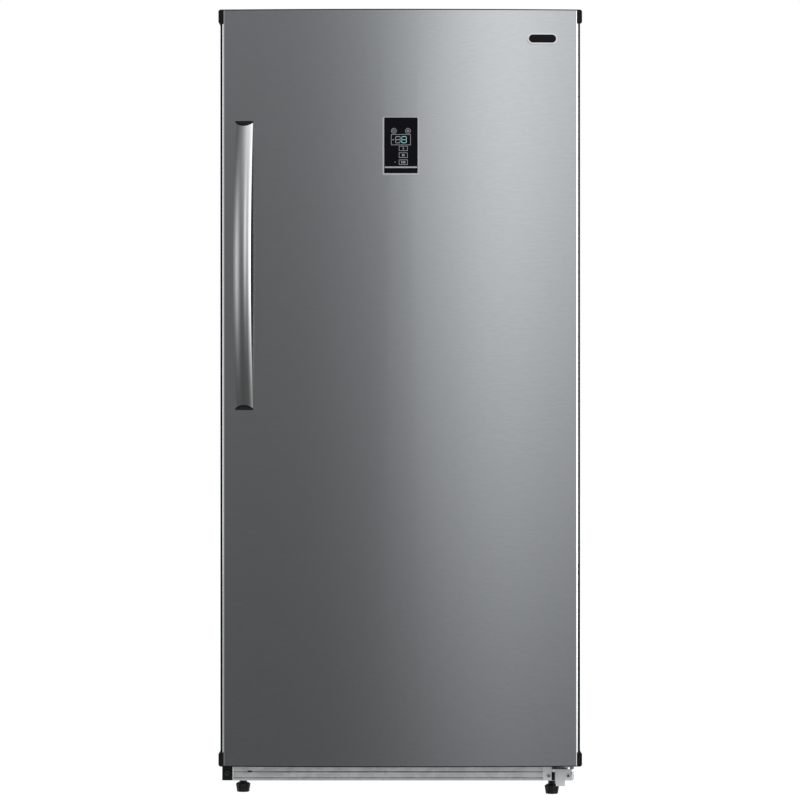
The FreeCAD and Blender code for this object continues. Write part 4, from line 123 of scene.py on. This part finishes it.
# ---------------------------------------------------------------- base front and badge
PAINTED_GAP_SHADE_X = (0.3014, 0.3080)      # painted shade: black strip where the gap beside the hinge's tab lies in shade
PAINTED_GAP_SHADE_Z = (0.0276, 0.0440)
PLATE_FRONT_Y = -0.2550       # of the hinge's plate, which the painted shade lies on
SCREW_PLACES = [(0.2955, -0.2580, 0.0365), (0.3345, -0.2580, 0.0365), (-0.3445, -0.2550, 0.0415)]
CROSS_REACH = 0.0028
CROSS_W = 0.0015
DETAIL_T = 0.0003
BEAM_FRONT_Y = -0.2536
BEAM_LIP_X = (-0.3331, -0.3045)     # pale strip of painted highlight round the cross beam's left end, where its lip catches light
BEAM_LIP_Z = (0.0284, 0.0552)
BEAM_LIP_W = 0.0022
# the slot is drawn as a black strip of painted shade
BEAM_SLOT_X = (-0.3040, -0.2960)
BEAM_SLOT_Z = 0.0449
BEAM_SLOT_W = 0.0024

BADGE_FIELD_W = 0.0538
BADGE_FIELD_H = 0.0158
BADGE_FIELD_T = 0.0010
BADGE_END_STEPS = 16
CROWN_RADIUS = 4.994          # of the door's front

# ---------------------------------------------------------------- finishes
HANDLE_EDGE_TURN = -0.40      # Y part of the surface's direction where the handle's bright front ends and its painted shade begins
# black that paints shade on the handle's edges and back
HANDLE_PAINTED_SHADE = (0.008, 0.008, 0.009)
DARK_SCREW_X = -0.335         # left of here a screw at the front sits in the dark corner block
BLACKENED = (0.05, 0.05, 0.052)
CLEAR_IOR = 1.45


# ---------------------------------------------------------------- material helpers
def new_material(name, colour, metallic, roughness):
    """A material whose main values sit on the shader's own sockets."""
    material = bpy.data.materials.new(name)
    material.use_nodes = True
    shader = material.node_tree.nodes["Principled BSDF"]
    shader.inputs["Base Color"].default_value = (*colour, 1.0)
    shader.inputs["Metallic"].default_value = metallic
    shader.inputs["Roughness"].default_value = roughness
    return material


def shader_of(material):
    """The material's main shader."""
    return material.node_tree.nodes["Principled BSDF"]


def noise(material, cells, detail=3.0):
    """A noise with this many cells per metre along x, y and z; gives its value's socket."""
    nodes, links = material.node_tree.nodes, material.node_tree.links
    place = nodes.new("ShaderNodeTexCoord")
    mapping = nodes.new("ShaderNodeMapping")
    mapping.inputs["Scale"].default_value = cells
    texture = nodes.new("ShaderNodeTexNoise")
    texture.inputs["Scale"].default_value = 1.0
    texture.inputs["Detail"].default_value = detail
    links.new(place.outputs["Object"], mapping.inputs["Vector"])
    links.new(mapping.outputs["Vector"], texture.inputs["Vector"])
    return texture.outputs["Fac"]


def crystals(material, cells):
    """Cells with a random value each, like the spangle of zinc; gives the value's socket."""
    nodes, links = material.node_tree.nodes, material.node_tree.links
    place = nodes.new("ShaderNodeTexCoord")
    texture = nodes.new("ShaderNodeTexVoronoi")
    texture.inputs["Scale"].default_value = cells
    grey = nodes.new("ShaderNodeSeparateColor")
    links.new(place.outputs["Object"], texture.inputs["Vector"])
    links.new(texture.outputs["Color"], grey.inputs["Color"])
    return grey.outputs["Red"]


def vary(material, value, socket, low, high):
    """Lets one of the shader's values run from low to high with a texture's value."""
    spread = material.node_tree.nodes.new("ShaderNodeMapRange")
    spread.inputs["To Min"].default_value = low
    spread.inputs["To Max"].default_value = high
    material.node_tree.links.new(value, spread.inputs["Value"])
    material.node_tree.links.new(spread.outputs["Result"], shader_of(material).inputs[socket])


def tint(material, value, first, second):
    """Mixes the base colour from two colours by a texture's value."""
    mix = material.node_tree.nodes.new("ShaderNodeMix")
    mix.data_type = "RGBA"
    ends = {"A": first, "B": second}
    for socket in mix.inputs:
        if socket.type == "RGBA":
            socket.default_value = (*ends[socket.name], 1.0)
    material.node_tree.links.new(value, mix.inputs["Factor"])
    colour = next(output for output in mix.outputs if output.type == "RGBA")
    material.node_tree.links.new(colour, shader_of(material).inputs["Base Color"])


def bump(material, value, strength, depth):
    """Raises the surface by a texture's value."""
    raised = material.node_tree.nodes.new("ShaderNodeBump")
    raised.inputs["Strength"].default_value = strength
    raised.inputs["Distance"].default_value = depth
    material.node_tree.links.new(value, raised.inputs["Height"])
    material.node_tree.links.new(raised.outputs["Normal"], shader_of(material).inputs["Normal"])


def worked_out(tree, operation, *values):
    """The socket of a Math node fed with numbers and sockets."""
    node = tree.nodes.new("ShaderNodeMath")
    node.operation = operation
    for socket, value in zip(node.inputs, values):
        if isinstance(value, (int, float)):
            socket.default_value = value
        else:
            tree.links.new(value, socket)
    return node.outputs["Value"]


def parts_of(tree, kind):
    """The x, y and z sockets of an object's own places or directions."""
    place = tree.nodes.new("ShaderNodeTexCoord")
    parts = tree.nodes.new("ShaderNodeSeparateXYZ")
    tree.links.new(place.outputs[kind], parts.inputs["Vector"])
    return parts.outputs


def shade(colour, factor):
    """A colour made lighter or darker."""
    return tuple(min(1.0, part * factor) for part in colour)


# ---------------------------------------------------------------- materials
def brushed(name, colour, roughness, cells, contrast=0.06, depth=0.00004):
    """Metal with a fine directed grain."""
    material = new_material(name, colour, metallic=1.0, roughness=roughness)
    grain = noise(material, cells)
    tint(material, grain, shade(colour, 1 - contrast), shade(colour, 1 + contrast))
    vary(material, grain, "Roughness", roughness * 0.85, roughness * 1.15)
    bump(material, grain, strength=0.25, depth=depth)
    return material


def galvanised(name, colour, roughness):
    """Zinc-coated sheet with soft spangles."""
    material = new_material(name, colour, metallic=1.0, roughness=roughness)
    spangle = crystals(material, cells=90.0)
    tint(material, spangle, shade(colour, 0.90), shade(colour, 1.06))
    vary(material, spangle, "Roughness", roughness * 0.8, roughness * 1.25)
    bump(material, noise(material, cells=(300, 300, 300)), strength=0.15, depth=0.00005)
    return material


def painted(name, colour, roughness):
    """Stove enamel with a slight orange peel."""
    material = new_material(name, colour, metallic=0.0, roughness=roughness)
    peel = noise(material, cells=(420, 420, 420), detail=1.5)
    cloud = noise(material, cells=(3, 3, 3))
    tint(material, cloud, shade(colour, 0.97), shade(colour, 1.03))
    vary(material, peel, "Roughness", roughness * 0.9, roughness * 1.1)
    bump(material, peel, strength=0.2, depth=0.00008)
    return material


def moulded(name, colour, roughness, gloss=0.5):
    """Moulded plastic with a fine spark-eroded grain."""
    material = new_material(name, colour, metallic=0.0, roughness=roughness)
    shader_of(material).inputs["Specular IOR Level"].default_value = gloss
    grain = noise(material, cells=(1400, 1400, 1400), detail=2.0)
    cloud = noise(material, cells=(8, 8, 8))
    tint(material, cloud, shade(colour, 0.95), shade(colour, 1.05))
    vary(material, grain, "Roughness", roughness * 0.85, min(1.0, roughness * 1.15))
    bump(material, grain, strength=0.25, depth=0.00005)
    return material


def clear(name, colour, roughness, transmission):
    """Clear plastic or glass with a faint unevenness."""
    material = new_material(name, colour, metallic=0.0, roughness=roughness)
    shader = shader_of(material)
    shader.inputs["Transmission Weight"].default_value = transmission
    shader.inputs["IOR"].default_value = CLEAR_IOR
    flow = noise(material, cells=(12, 12, 12), detail=1.0)
    vary(material, flow, "Roughness", roughness * 0.7, roughness * 1.3)
    bump(material, flow, strength=0.03, depth=0.0004)
    return material


def foam(name, colour):
    """Rigid insulation foam with fine cells."""
    material = new_material(name, colour, metallic=0.0, roughness=0.9)
    pores = noise(material, cells=(700, 700, 700), detail=4.0)
    tint(material, pores, shade(colour, 0.86), shade(colour, 1.05))
    bump(material, pores, strength=0.6, depth=0.0004)
    return material


def door_steel(name, colour):
    """The door's fine horizontal grain over a faint broad mottle."""
    material = new_material(name, colour, metallic=1.0, roughness=0.15)
    grain = noise(material, cells=(60, 60, 480), detail=4.0)
    tint(material, grain, shade(colour, 0.94), shade(colour, 1.06))
    mottle = noise(material, cells=(25, 25, 90))
    vary(material, mottle, "Roughness", 0.14, 0.16)
    bump(material, grain, strength=0.015, depth=0.00002)
    return material


def black_glass(name, colour):
    """Black glass of the panel, with little gloss of its own."""
    material = new_material(name, colour, metallic=0.0, roughness=0.08)
    shader_of(material).inputs["Specular IOR Level"].default_value = 0.08
    film = noise(material, cells=(40, 40, 40))
    vary(material, film, "Roughness", 0.05, 0.12)
    tint(material, film, colour, shade(colour, 1.4))
    return material


def glowing(name, colour, strength):
    """A lit or printed symbol behind the glass."""
    material = new_material(name, colour, metallic=0.0, roughness=0.3)
    shader = shader_of(material)
    shader.inputs["Emission Color"].default_value = (*colour, 1.0)
    shader.inputs["Emission Strength"].default_value = strength
    tint(material, noise(material, cells=(900, 900, 900)), shade(colour, 0.92), colour)
    return material


def screw_steel(name, colour):
    """Zinc-plated screws; the one in the base's dark front corner is blackened."""
    material = brushed(name, colour, 0.35, cells=(400, 400, 400))
    tree = material.node_tree
    place = parts_of(tree, "Object")
    left = worked_out(tree, "LESS_THAN", place["X"], DARK_SCREW_X)
    front = worked_out(tree, "LESS_THAN", place["Y"], 0.0)
    tint(material, worked_out(tree, "MULTIPLY", left, front), colour, BLACKENED)
    return material


def handle_metal(name, colour):
    """Bright metal at the front of the handle, and black painted shade on its edges and back where they
    turn from the front.
    """
    material = brushed(name, colour, 0.13, cells=(700, 700, 14), contrast=0.03, depth=0.00002)
    tree = material.node_tree
    # the surface's direction sets where painted shade takes over from the bright metal
    front = worked_out(tree, "LESS_THAN", parts_of(tree, "Normal")["Y"], HANDLE_EDGE_TURN)
    tint(material, front, HANDLE_PAINTED_SHADE, colour)
    tree.links.new(front, shader_of(material).inputs["Metallic"])
    return material


def slot_materials():
    """One material for each of the record's slots."""
    return {
        "case_paint": painted("case_paint", (0.30, 0.31, 0.32), 0.38),
        "door_steel": door_steel("door_steel", (0.555, 0.58, 0.605)),
        "galvanised": galvanised("galvanised", (0.53, 0.54, 0.55), 0.36),
        "zinc_plate": brushed("zinc_plate", (0.66, 0.67, 0.68), 0.30, (60, 60, 900)),
        "screw_steel": screw_steel("screw_steel", (0.48, 0.49, 0.50)),
        "insulation_foam": foam("insulation_foam", (0.86, 0.78, 0.52)),
        "white_plastic": moulded("white_plastic", (0.80, 0.81, 0.82), 0.30),
        "clear_plastic": clear("clear_plastic", (0.90, 0.94, 0.96), 0.10, transmission=0.85),
        "black_plastic": moulded("black_plastic", (0.006, 0.006, 0.007), 0.45, gloss=0.16),
        "grey_plastic": moulded("grey_plastic", (0.22, 0.23, 0.24), 0.5),
        "handle_metal": handle_metal("handle_metal", (0.66, 0.67, 0.68)),
        "bezel_silver": brushed("bezel_silver", (0.78, 0.79, 0.80), 0.25, (30, 30, 900), contrast=0.03),
        "badge_chrome": brushed("badge_chrome", (0.64, 0.65, 0.66), 0.10, (500, 500, 500),
                                contrast=0.02, depth=0.00001),
        "panel_glass": black_glass("panel_glass", (0.0035, 0.0035, 0.0055)),
        "shelf_glass": clear("shelf_glass", (0.86, 0.95, 0.92), 0.02, transmission=0.95),
        "lens_clear": clear("lens_clear", (0.93, 0.94, 0.95), 0.15, transmission=0.7),
        "gasket_rubber": moulded("gasket_rubber", (0.16, 0.165, 0.17), 0.6),
        "black_rubber": moulded("black_rubber", (0.010, 0.010, 0.010), 0.35),
        "aluminium_fin": brushed("aluminium_fin", (0.78, 0.79, 0.80), 0.32, (500, 500, 40)),
        "black_enamel": painted("black_enamel", (0.022, 0.022, 0.024), 0.28),
        "copper": brushed("copper", (0.72, 0.40, 0.26), 0.30, (300, 300, 60)),
        "board_green": moulded("board_green", (0.03, 0.16, 0.07), 0.4),
    }


def dress_nodes(materials):
    """Gives every CAD node the material of its slot."""
    for part in frame["record"]["subparts"]:
        for slot in frame["nodes"][part["node"]].material_slots:
            slot.material = materials[part["material_slot"]]


# ---------------------------------------------------------------- flat symbols
def stroke_sides(points, width, closed):
    """The two sides of a line of this width through points in the XZ plane."""
    last = len(points) - 1
    sides = []
    for i, point in enumerate(points):
        before = points[i - 1] if closed or i > 0 else point
        after = points[(i + 1) % len(points)] if closed or i < last else point
        run_in = (point - before).normalized() if point != before else (after - point).normalized()
        run_out = (after - point).normalized() if after != point else run_in
        along = (run_in + run_out).normalized()
        mitre = max(MITRE_LIMIT, along.dot(run_out))
        across = Vector((-along.z, 0, along.x)) * (width / 2 / mitre)
        sides.append((point + across, point - across))
    return sides


def add_stroke(mesh, points, width, thickness, closed=False):
    """Adds one raised line to a mesh; its back is at the points and its front stands proud of them."""
    front = Vector((0, -thickness, 0))
    rows = [[mesh.verts.new(corner) for corner in (left, right, right + front, left + front)]
            for left, right in stroke_sides(points, width, closed)]
    pairs = list(zip(rows, rows[1:])) + ([(rows[-1], rows[0])] if closed else [])
    for low, high in pairs:
        for i in range(4):
            mesh.faces.new((low[i], low[(i + 1) % 4], high[(i + 1) % 4], high[i]))
    if not closed:
        mesh.faces.new(rows[0][::-1])
        mesh.faces.new(rows[-1])


def as_piece(mesh, name, material, body):
    """Turns a bmesh into a piece of the object that rides on a body."""
    bmesh.ops.recalc_face_normals(mesh, faces=mesh.faces)
    data = bpy.data.meshes.new(name)
    mesh.to_mesh(data)
    mesh.free()
    piece = bpy.data.objects.new(name, data)
    bpy.context.scene.collection.objects.link(piece)
    data.materials.append(material)
    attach(piece, body)
    return piece


def arc(x, z, radius, start, end, steps):
    """Points along an arc, with its angles in degrees from the top, clockwise."""
    turns = [math.radians(start + (end - start) * i / steps) for i in range(steps + 1)]
    return [Vector((x + radius * math.sin(turn), 0, z + radius * math.cos(turn))) for turn in turns]


def ring(x, z, radius):
    """The corners of a whole ring."""
    return arc(x, z, radius, 0, 360 - 360 / RING_CORNERS, RING_CORNERS - 1)


def rectangle(x0, x1, z0, z1):
    """The corners of a rectangle."""
    return [Vector((x0, 0, z0)), Vector((x1, 0, z0)), Vector((x1, 0, z1)), Vector((x0, 0, z1))]


def upright(x, z0, z1):
    """The ends of an upright line."""
    return [Vector((x, 0, z0)), Vector((x, 0, z1))]


def level_line(x0, x1, z):
    """The ends of a level line."""
    return [Vector((x0, 0, z)), Vector((x1, 0, z))]


def digit_lines(x, z):
    """The seven lines of a display's digit about its middle."""
    w, h, gap = DIGIT_W / 2, DIGIT_H / 2, DIGIT_LINE * DIGIT_GAP_SHARE
    ends = [((-w + gap, level), (w - gap, level)) for level in (-h, 0, h)]
    ends += [((side, end - gap), (side, end - h + gap)) for side in (-w, w) for end in (0, h)]
    return [[Vector((x + ax, 0, z + az)) for ax, az in line] for line in ends]


def round_symbols(z):
    """A power sign and a light's rays, each in a ring."""
    rings = [(ring(side * ROUND_X, z, ROUND_R), LINE_W, True) for side in (-1, 1)]
    reach = ROUND_R * MARK_SHARE
    power_arc = arc(-ROUND_X, z, ROUND_R * POWER_SHARE, POWER_GAP, 360 - POWER_GAP, POWER_STEPS)
    lines = [power_arc, upright(-ROUND_X, z, z + reach)]
    lines += [arc(ROUND_X, z, reach, turn, turn + 180, 1) for turn in SPOKE_TURNS]
    return rings + [(points, LINE_W, False) for points in lines]


def level_symbols(top_z):
    """Three small frames with one, two and three bars."""
    strokes = []
    for row, (drop_top, drop_bottom) in enumerate(BOXED_DROPS):
        z0, z1 = top_z - drop_bottom, top_z - drop_top
        strokes.append((rectangle(*BOXED_X, z0, z1), LINE_W, True))
        for i in range(row + 1):
            x = sum(BOXED_X) / 2 + (i - row / 2) * BAR_PITCH
            strokes.append((upright(x, z0 + BAR_INSET, z1 - BAR_INSET), BAR_W, False))
    return strokes


def panel_strokes(top_z, half_width):
    """Every line on the glass, by piece: its points, its width and whether it is closed."""
    digit_z = top_z - sum(FRAME_DROP) / 2
    band_z = top_z - BAND_DROP - BAND_W / 2
    frame_line = rectangle(-FRAME_X, FRAME_X, top_z - FRAME_DROP[1], top_z - FRAME_DROP[0])
    dot = level_line(DOT_X - DOT_REACH, DOT_X + DOT_REACH, top_z - DOT_DROP)
    minus = level_line(*MINUS_X, digit_z)
    band = level_line(BAND_INSET - half_width, half_width - BAND_INSET, band_z)
    left, right = ([(points, DIGIT_LINE, False) for points in digit_lines(x, digit_z)] for x in DIGIT_XS)
    icons = round_symbols(top_z - ROUND_DROP) + [(frame_line, LINE_W, True)] + level_symbols(top_z)
    icons += [(dot, DOT_W, False), (minus, DIGIT_LINE, False)]
    return {"panel_icons": icons, "panel_digit_left": left, "panel_digit_right": right,
            "panel_band": [(band, BAND_W, False)]}


def panel_symbols(materials):
    """Plain symbols and two digits on the panel's glass."""
    low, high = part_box("panel_glass")
    shift = Vector(((low.x + high.x) / 2, low.y, 0))
    for name, strokes in panel_strokes(high.z, (high.x - low.x) / 2).items():
        mesh = bmesh.new()
        for points, width, closed in strokes:
            add_stroke(mesh, [point + shift for point in points], width, SYMBOL_T, closed)
        as_piece(mesh, name, materials[name], "door")


def beam_end(lip_highlight_material, slot_shade_material):
    """Painted highlight on the lip round the left end of the base's cross beam, and painted shade in a
    slot there.
    """
    left, right = BEAM_LIP_X
    low, high = BEAM_LIP_Z
    lip = bmesh.new()
    corners = [(left, high), (left, low), (right, low)]
    add_stroke(lip, [Vector((x, BEAM_FRONT_Y, z)) for x, z in corners], BEAM_LIP_W, DETAIL_T)
    as_piece(lip, "beam_lip_highlight", lip_highlight_material, "cabinet")
    slot = bmesh.new()
    ends = [Vector((x, BEAM_FRONT_Y, BEAM_SLOT_Z)) for x in BEAM_SLOT_X]
    add_stroke(slot, ends, BEAM_SLOT_W, DETAIL_T)
    as_piece(slot, "beam_slot_shade", slot_shade_material, "cabinet")


def hinge_gap_painted_shade(material):
    """Black strip of painted shade on the hinge's plate, beside the lower hinge's tab."""
    left, right = PAINTED_GAP_SHADE_X
    gap = bmesh.new()
    ends = [Vector(((left + right) / 2, PLATE_FRONT_Y, z)) for z in PAINTED_GAP_SHADE_Z]
    add_stroke(gap, ends, right - left, DETAIL_T)
    as_piece(gap, "hinge_gap_painted_shade", material, "cabinet")


def screw_cross_shades(material):
    """Black crosses of painted shade where the cross recesses sit in the heads of the three screws at
    the base's front.
    """
    crosses = bmesh.new()
    for place in SCREW_PLACES:
        for turn in (math.radians(45), math.radians(135)):
            reach = Vector((math.sin(turn), 0, math.cos(turn))) * CROSS_REACH
            add_stroke(crosses, [Vector(place) - reach, Vector(place) + reach], CROSS_W, DETAIL_T)
    as_piece(crosses, "screw_cross_shades", material, "cabinet")


def rounded_bar(width, height):
    """Outline of a bar with round ends, about its middle."""
    radius = height / 2
    reach = Vector((width / 2 - radius, 0, 0))
    outline = [point + reach for point in arc(0, 0, radius, 0, 180, BADGE_END_STEPS)]
    return outline + [point - reach for point in arc(0, 0, radius, 180, 360, BADGE_END_STEPS)]


def badge_plate(material):
    """Bare dark plate that lies in the badge's rim and follows the door's crown."""
    low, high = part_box("badge_rim")
    middle = (low + high) / 2
    turn = math.asin(middle.x / CROWN_RADIUS)
    along = Vector((math.cos(turn), math.sin(turn), 0))
    inward = Vector((-math.sin(turn), math.cos(turn), 0))
    outline = rounded_bar(BADGE_FIELD_W, BADGE_FIELD_H)
    mesh = bmesh.new()
    back, front = [[mesh.verts.new(middle + along * p.x + inward * depth + Vector((0, 0, p.z)))
                    for p in outline] for depth in (BADGE_FIELD_T / 2, -BADGE_FIELD_T / 2)]
    mesh.faces.new(back)
    mesh.faces.new(front[::-1])
    for i in range(len(outline)):
        mesh.faces.new((back[i - 1], back[i], front[i], front[i - 1]))
    as_piece(mesh, "badge_field", material, "door")


# ---------------------------------------------------------------- studio
def seen_directly(tree):
    """One for what the camera, a reflection or clear material shows, and nought for lighting."""
    path = tree.nodes.new("ShaderNodeLightPath")
    seen = worked_out(tree, "MAXIMUM", path.outputs["Is Camera Ray"], path.outputs["Is Glossy Ray"])
    return worked_out(tree, "MAXIMUM", seen, path.outputs["Is Transmission Ray"])


def make_world():
    """White where it is seen, and a plain level of light."""
    world = bpy.data.worlds.new("studio")
    bpy.context.scene.world = world
    world.use_nodes = True
    nodes, links = world.node_tree.nodes, world.node_tree.links
    lighting = nodes["Background"]
    lighting.inputs["Color"].default_value = WHITE
    lighting.inputs["Strength"].default_value = WORLD_LEVEL
    seen = nodes.new("ShaderNodeBackground")
    seen.inputs["Color"].default_value = WHITE
    mix = nodes.new("ShaderNodeMixShader")
    links.new(seen_directly(world.node_tree), mix.inputs["Fac"])
    links.new(lighting.outputs["Background"], mix.inputs[1])
    links.new(seen.outputs["Background"], mix.inputs[2])
    links.new(mix.outputs["Shader"], nodes["World Output"].inputs["Surface"])


def plane(name, corners):
    """A four-cornered stage piece."""
    data = bpy.data.meshes.new(name)
    data.from_pydata(corners, [], [(0, 1, 2, 3)])
    piece = bpy.data.objects.new(name, data)
    bpy.context.scene.collection.objects.link(piece)
    return piece


def make_floor():
    """Pale floor that looks white and keeps a trace of the shadow."""
    reach = FLOOR_REACH
    floor = plane("floor", [(-reach, FLOOR_FRONT_Y, 0), (reach, FLOOR_FRONT_Y, 0),
                            (reach, reach, 0), (-reach, reach, 0)])
    material = new_material("floor_white", FLOOR_COLOUR, metallic=0.0, roughness=FLOOR_ROUGHNESS)
    nodes, links = material.node_tree.nodes, material.node_tree.links
    white = nodes.new("ShaderNodeEmission")
    white.inputs["Strength"].default_value = FLOOR_WHITE
    mix = nodes.new("ShaderNodeMixShader")
    share = worked_out(material.node_tree, "MULTIPLY", seen_directly(material.node_tree), FLOOR_SHARE)
    links.new(share, mix.inputs["Fac"])
    links.new(shader_of(material).outputs["BSDF"], mix.inputs[1])
    links.new(white.outputs["Emission"], mix.inputs[2])
    links.new(mix.outputs["Shader"], nodes["Material Output"].inputs["Surface"])
    floor.data.materials.append(material)


def squared(tree, value):
    """The square of a socket's value."""
    return worked_out(tree, "MULTIPLY", value, value)


def box_level(tree, turn, rise, box):
    """Light of one soft box, fading from its middle."""
    at_turn, at_rise, half_w, half_h, level = box
    across = worked_out(tree, "DIVIDE", worked_out(tree, "SUBTRACT", turn, at_turn), half_w)
    up = worked_out(tree, "DIVIDE", worked_out(tree, "SUBTRACT", rise, at_rise), half_h)
    far = worked_out(tree, "ADD", squared(tree, across), squared(tree, up))
    fade = worked_out(tree, "EXPONENT", worked_out(tree, "MULTIPLY", far, -1.0))
    return worked_out(tree, "MULTIPLY", fade, level)


def dome_material():
    """The wall's light: a low level with the soft boxes on it."""
    material = bpy.data.materials.new("studio_wall")
    material.use_nodes = True
    tree = material.node_tree
    tree.nodes.remove(tree.nodes["Principled BSDF"])
    place = parts_of(tree, "Object")
    front = worked_out(tree, "MULTIPLY", place["Y"], -1.0)
    turn = worked_out(tree, "DEGREES", worked_out(tree, "ARCTAN2", place["X"], front))
    height = worked_out(tree, "DIVIDE", place["Z"], DOME_RADIUS)
    rise = worked_out(tree, "DEGREES", worked_out(tree, "ARCSINE", height))
    level = DOME_BASE
    for box in SOFT_BOXES:
        level = worked_out(tree, "ADD", level, box_level(tree, turn, rise, box))
    light = tree.nodes.new("ShaderNodeEmission")
    tree.links.new(level, light.inputs["Strength"])
    tree.links.new(light.outputs["Emission"], tree.nodes["Material Output"].inputs["Surface"])
    return material


def wall_point(turn, rise):
    """A point of the wall, turned to the right of the front and raised from the level."""
    reach = DOME_RADIUS * math.cos(rise)
    return (reach * math.sin(turn), -reach * math.cos(turn), DOME_RADIUS * math.sin(rise))


def make_dome():
    """A graded wall round the front of the studio; only reflections show it."""
    turns = range(-DOME_TURN, DOME_TURN + 1, DOME_STEP)
    rises = range(DOME_LOW, DOME_HIGH + 1, DOME_STEP)
    corners = [wall_point(math.radians(turn), math.radians(rise)) for rise in rises for turn in turns]
    wide = len(turns)
    faces = [(row * wide + i, row * wide + i + 1, (row + 1) * wide + i + 1, (row + 1) * wide + i)
             for row in range(len(rises) - 1) for i in range(wide - 1)]
    data = bpy.data.meshes.new("studio_wall")
    data.from_pydata(corners, [], faces)
    data.materials.append(dome_material())
    dome = bpy.data.objects.new("studio_wall", data)
    dome.location = (0, 0, DOME_Z)
    dome.visible_camera = False
    dome.visible_diffuse = False
    dome.visible_shadow = False
    dome.visible_transmission = False
    bpy.context.scene.collection.objects.link(dome)


def make_lamps():
    """Broad soft lamps round the object; metal shows the studio wall in their place."""
    for name, place, target, size, watts in LAMPS:
        data = bpy.data.lights.new(name, "AREA")
        data.shape = "SQUARE"
        data.size = size
        data.energy = watts
        lamp = bpy.data.objects.new(name, data)
        lamp.location = place
        lamp.rotation_euler = (Vector(target) - Vector(place)).to_track_quat("-Z", "Y").to_euler()
        lamp.visible_glossy = False
        bpy.context.scene.collection.objects.link(lamp)


def make_camera():
    """Level camera in front of the door, at the picture's distance and scale."""
    data = bpy.data.cameras.new("camera")
    data.sensor_width = SENSOR
    data.lens = SENSOR * CAMERA_DISTANCE / FRAME_WIDTH
    camera = bpy.data.objects.new("camera", data)
    camera.location = (CAMERA_X, EDGE_PLANE_Y - CAMERA_DISTANCE, CAMERA_Z)
    camera.rotation_euler = (math.radians(90), 0, 0)
    bpy.context.scene.collection.objects.link(camera)
    bpy.context.scene.camera = camera


dress_nodes(slot_materials())
panel_symbols({
    "panel_icons": glowing("panel_icons", (0.42, 0.44, 0.47), 0.12),
    "panel_digit_left": glowing("panel_digit_left", (0.36, 0.38, 0.42), 0.10),
    "panel_digit_right": glowing("panel_digit_right", (0.25, 0.62, 0.60), 0.35),
    "panel_band": brushed("panel_band", (0.70, 0.71, 0.72), 0.25, cells=(900, 900, 30)),
})
badge_plate(moulded("badge_field", (0.006, 0.006, 0.007), 0.25, gloss=0.10))
# black for painted shade in the hinge's gap, the screws' crosses and the beam's slot
painted_shade = moulded("painted_shade_black", (0.006, 0.006, 0.006), 0.6, gloss=0.15)
hinge_gap_painted_shade(painted_shade)
screw_cross_shades(painted_shade)
# pale paint for the painted highlight on the beam's lip
beam_end(painted("lip_painted_highlight", (0.82, 0.83, 0.84), 0.30), painted_shade)
make_world()
make_floor()
make_dome()
make_lamps()
make_camera()
bpy.context.scene.view_settings.view_transform = "Standard"
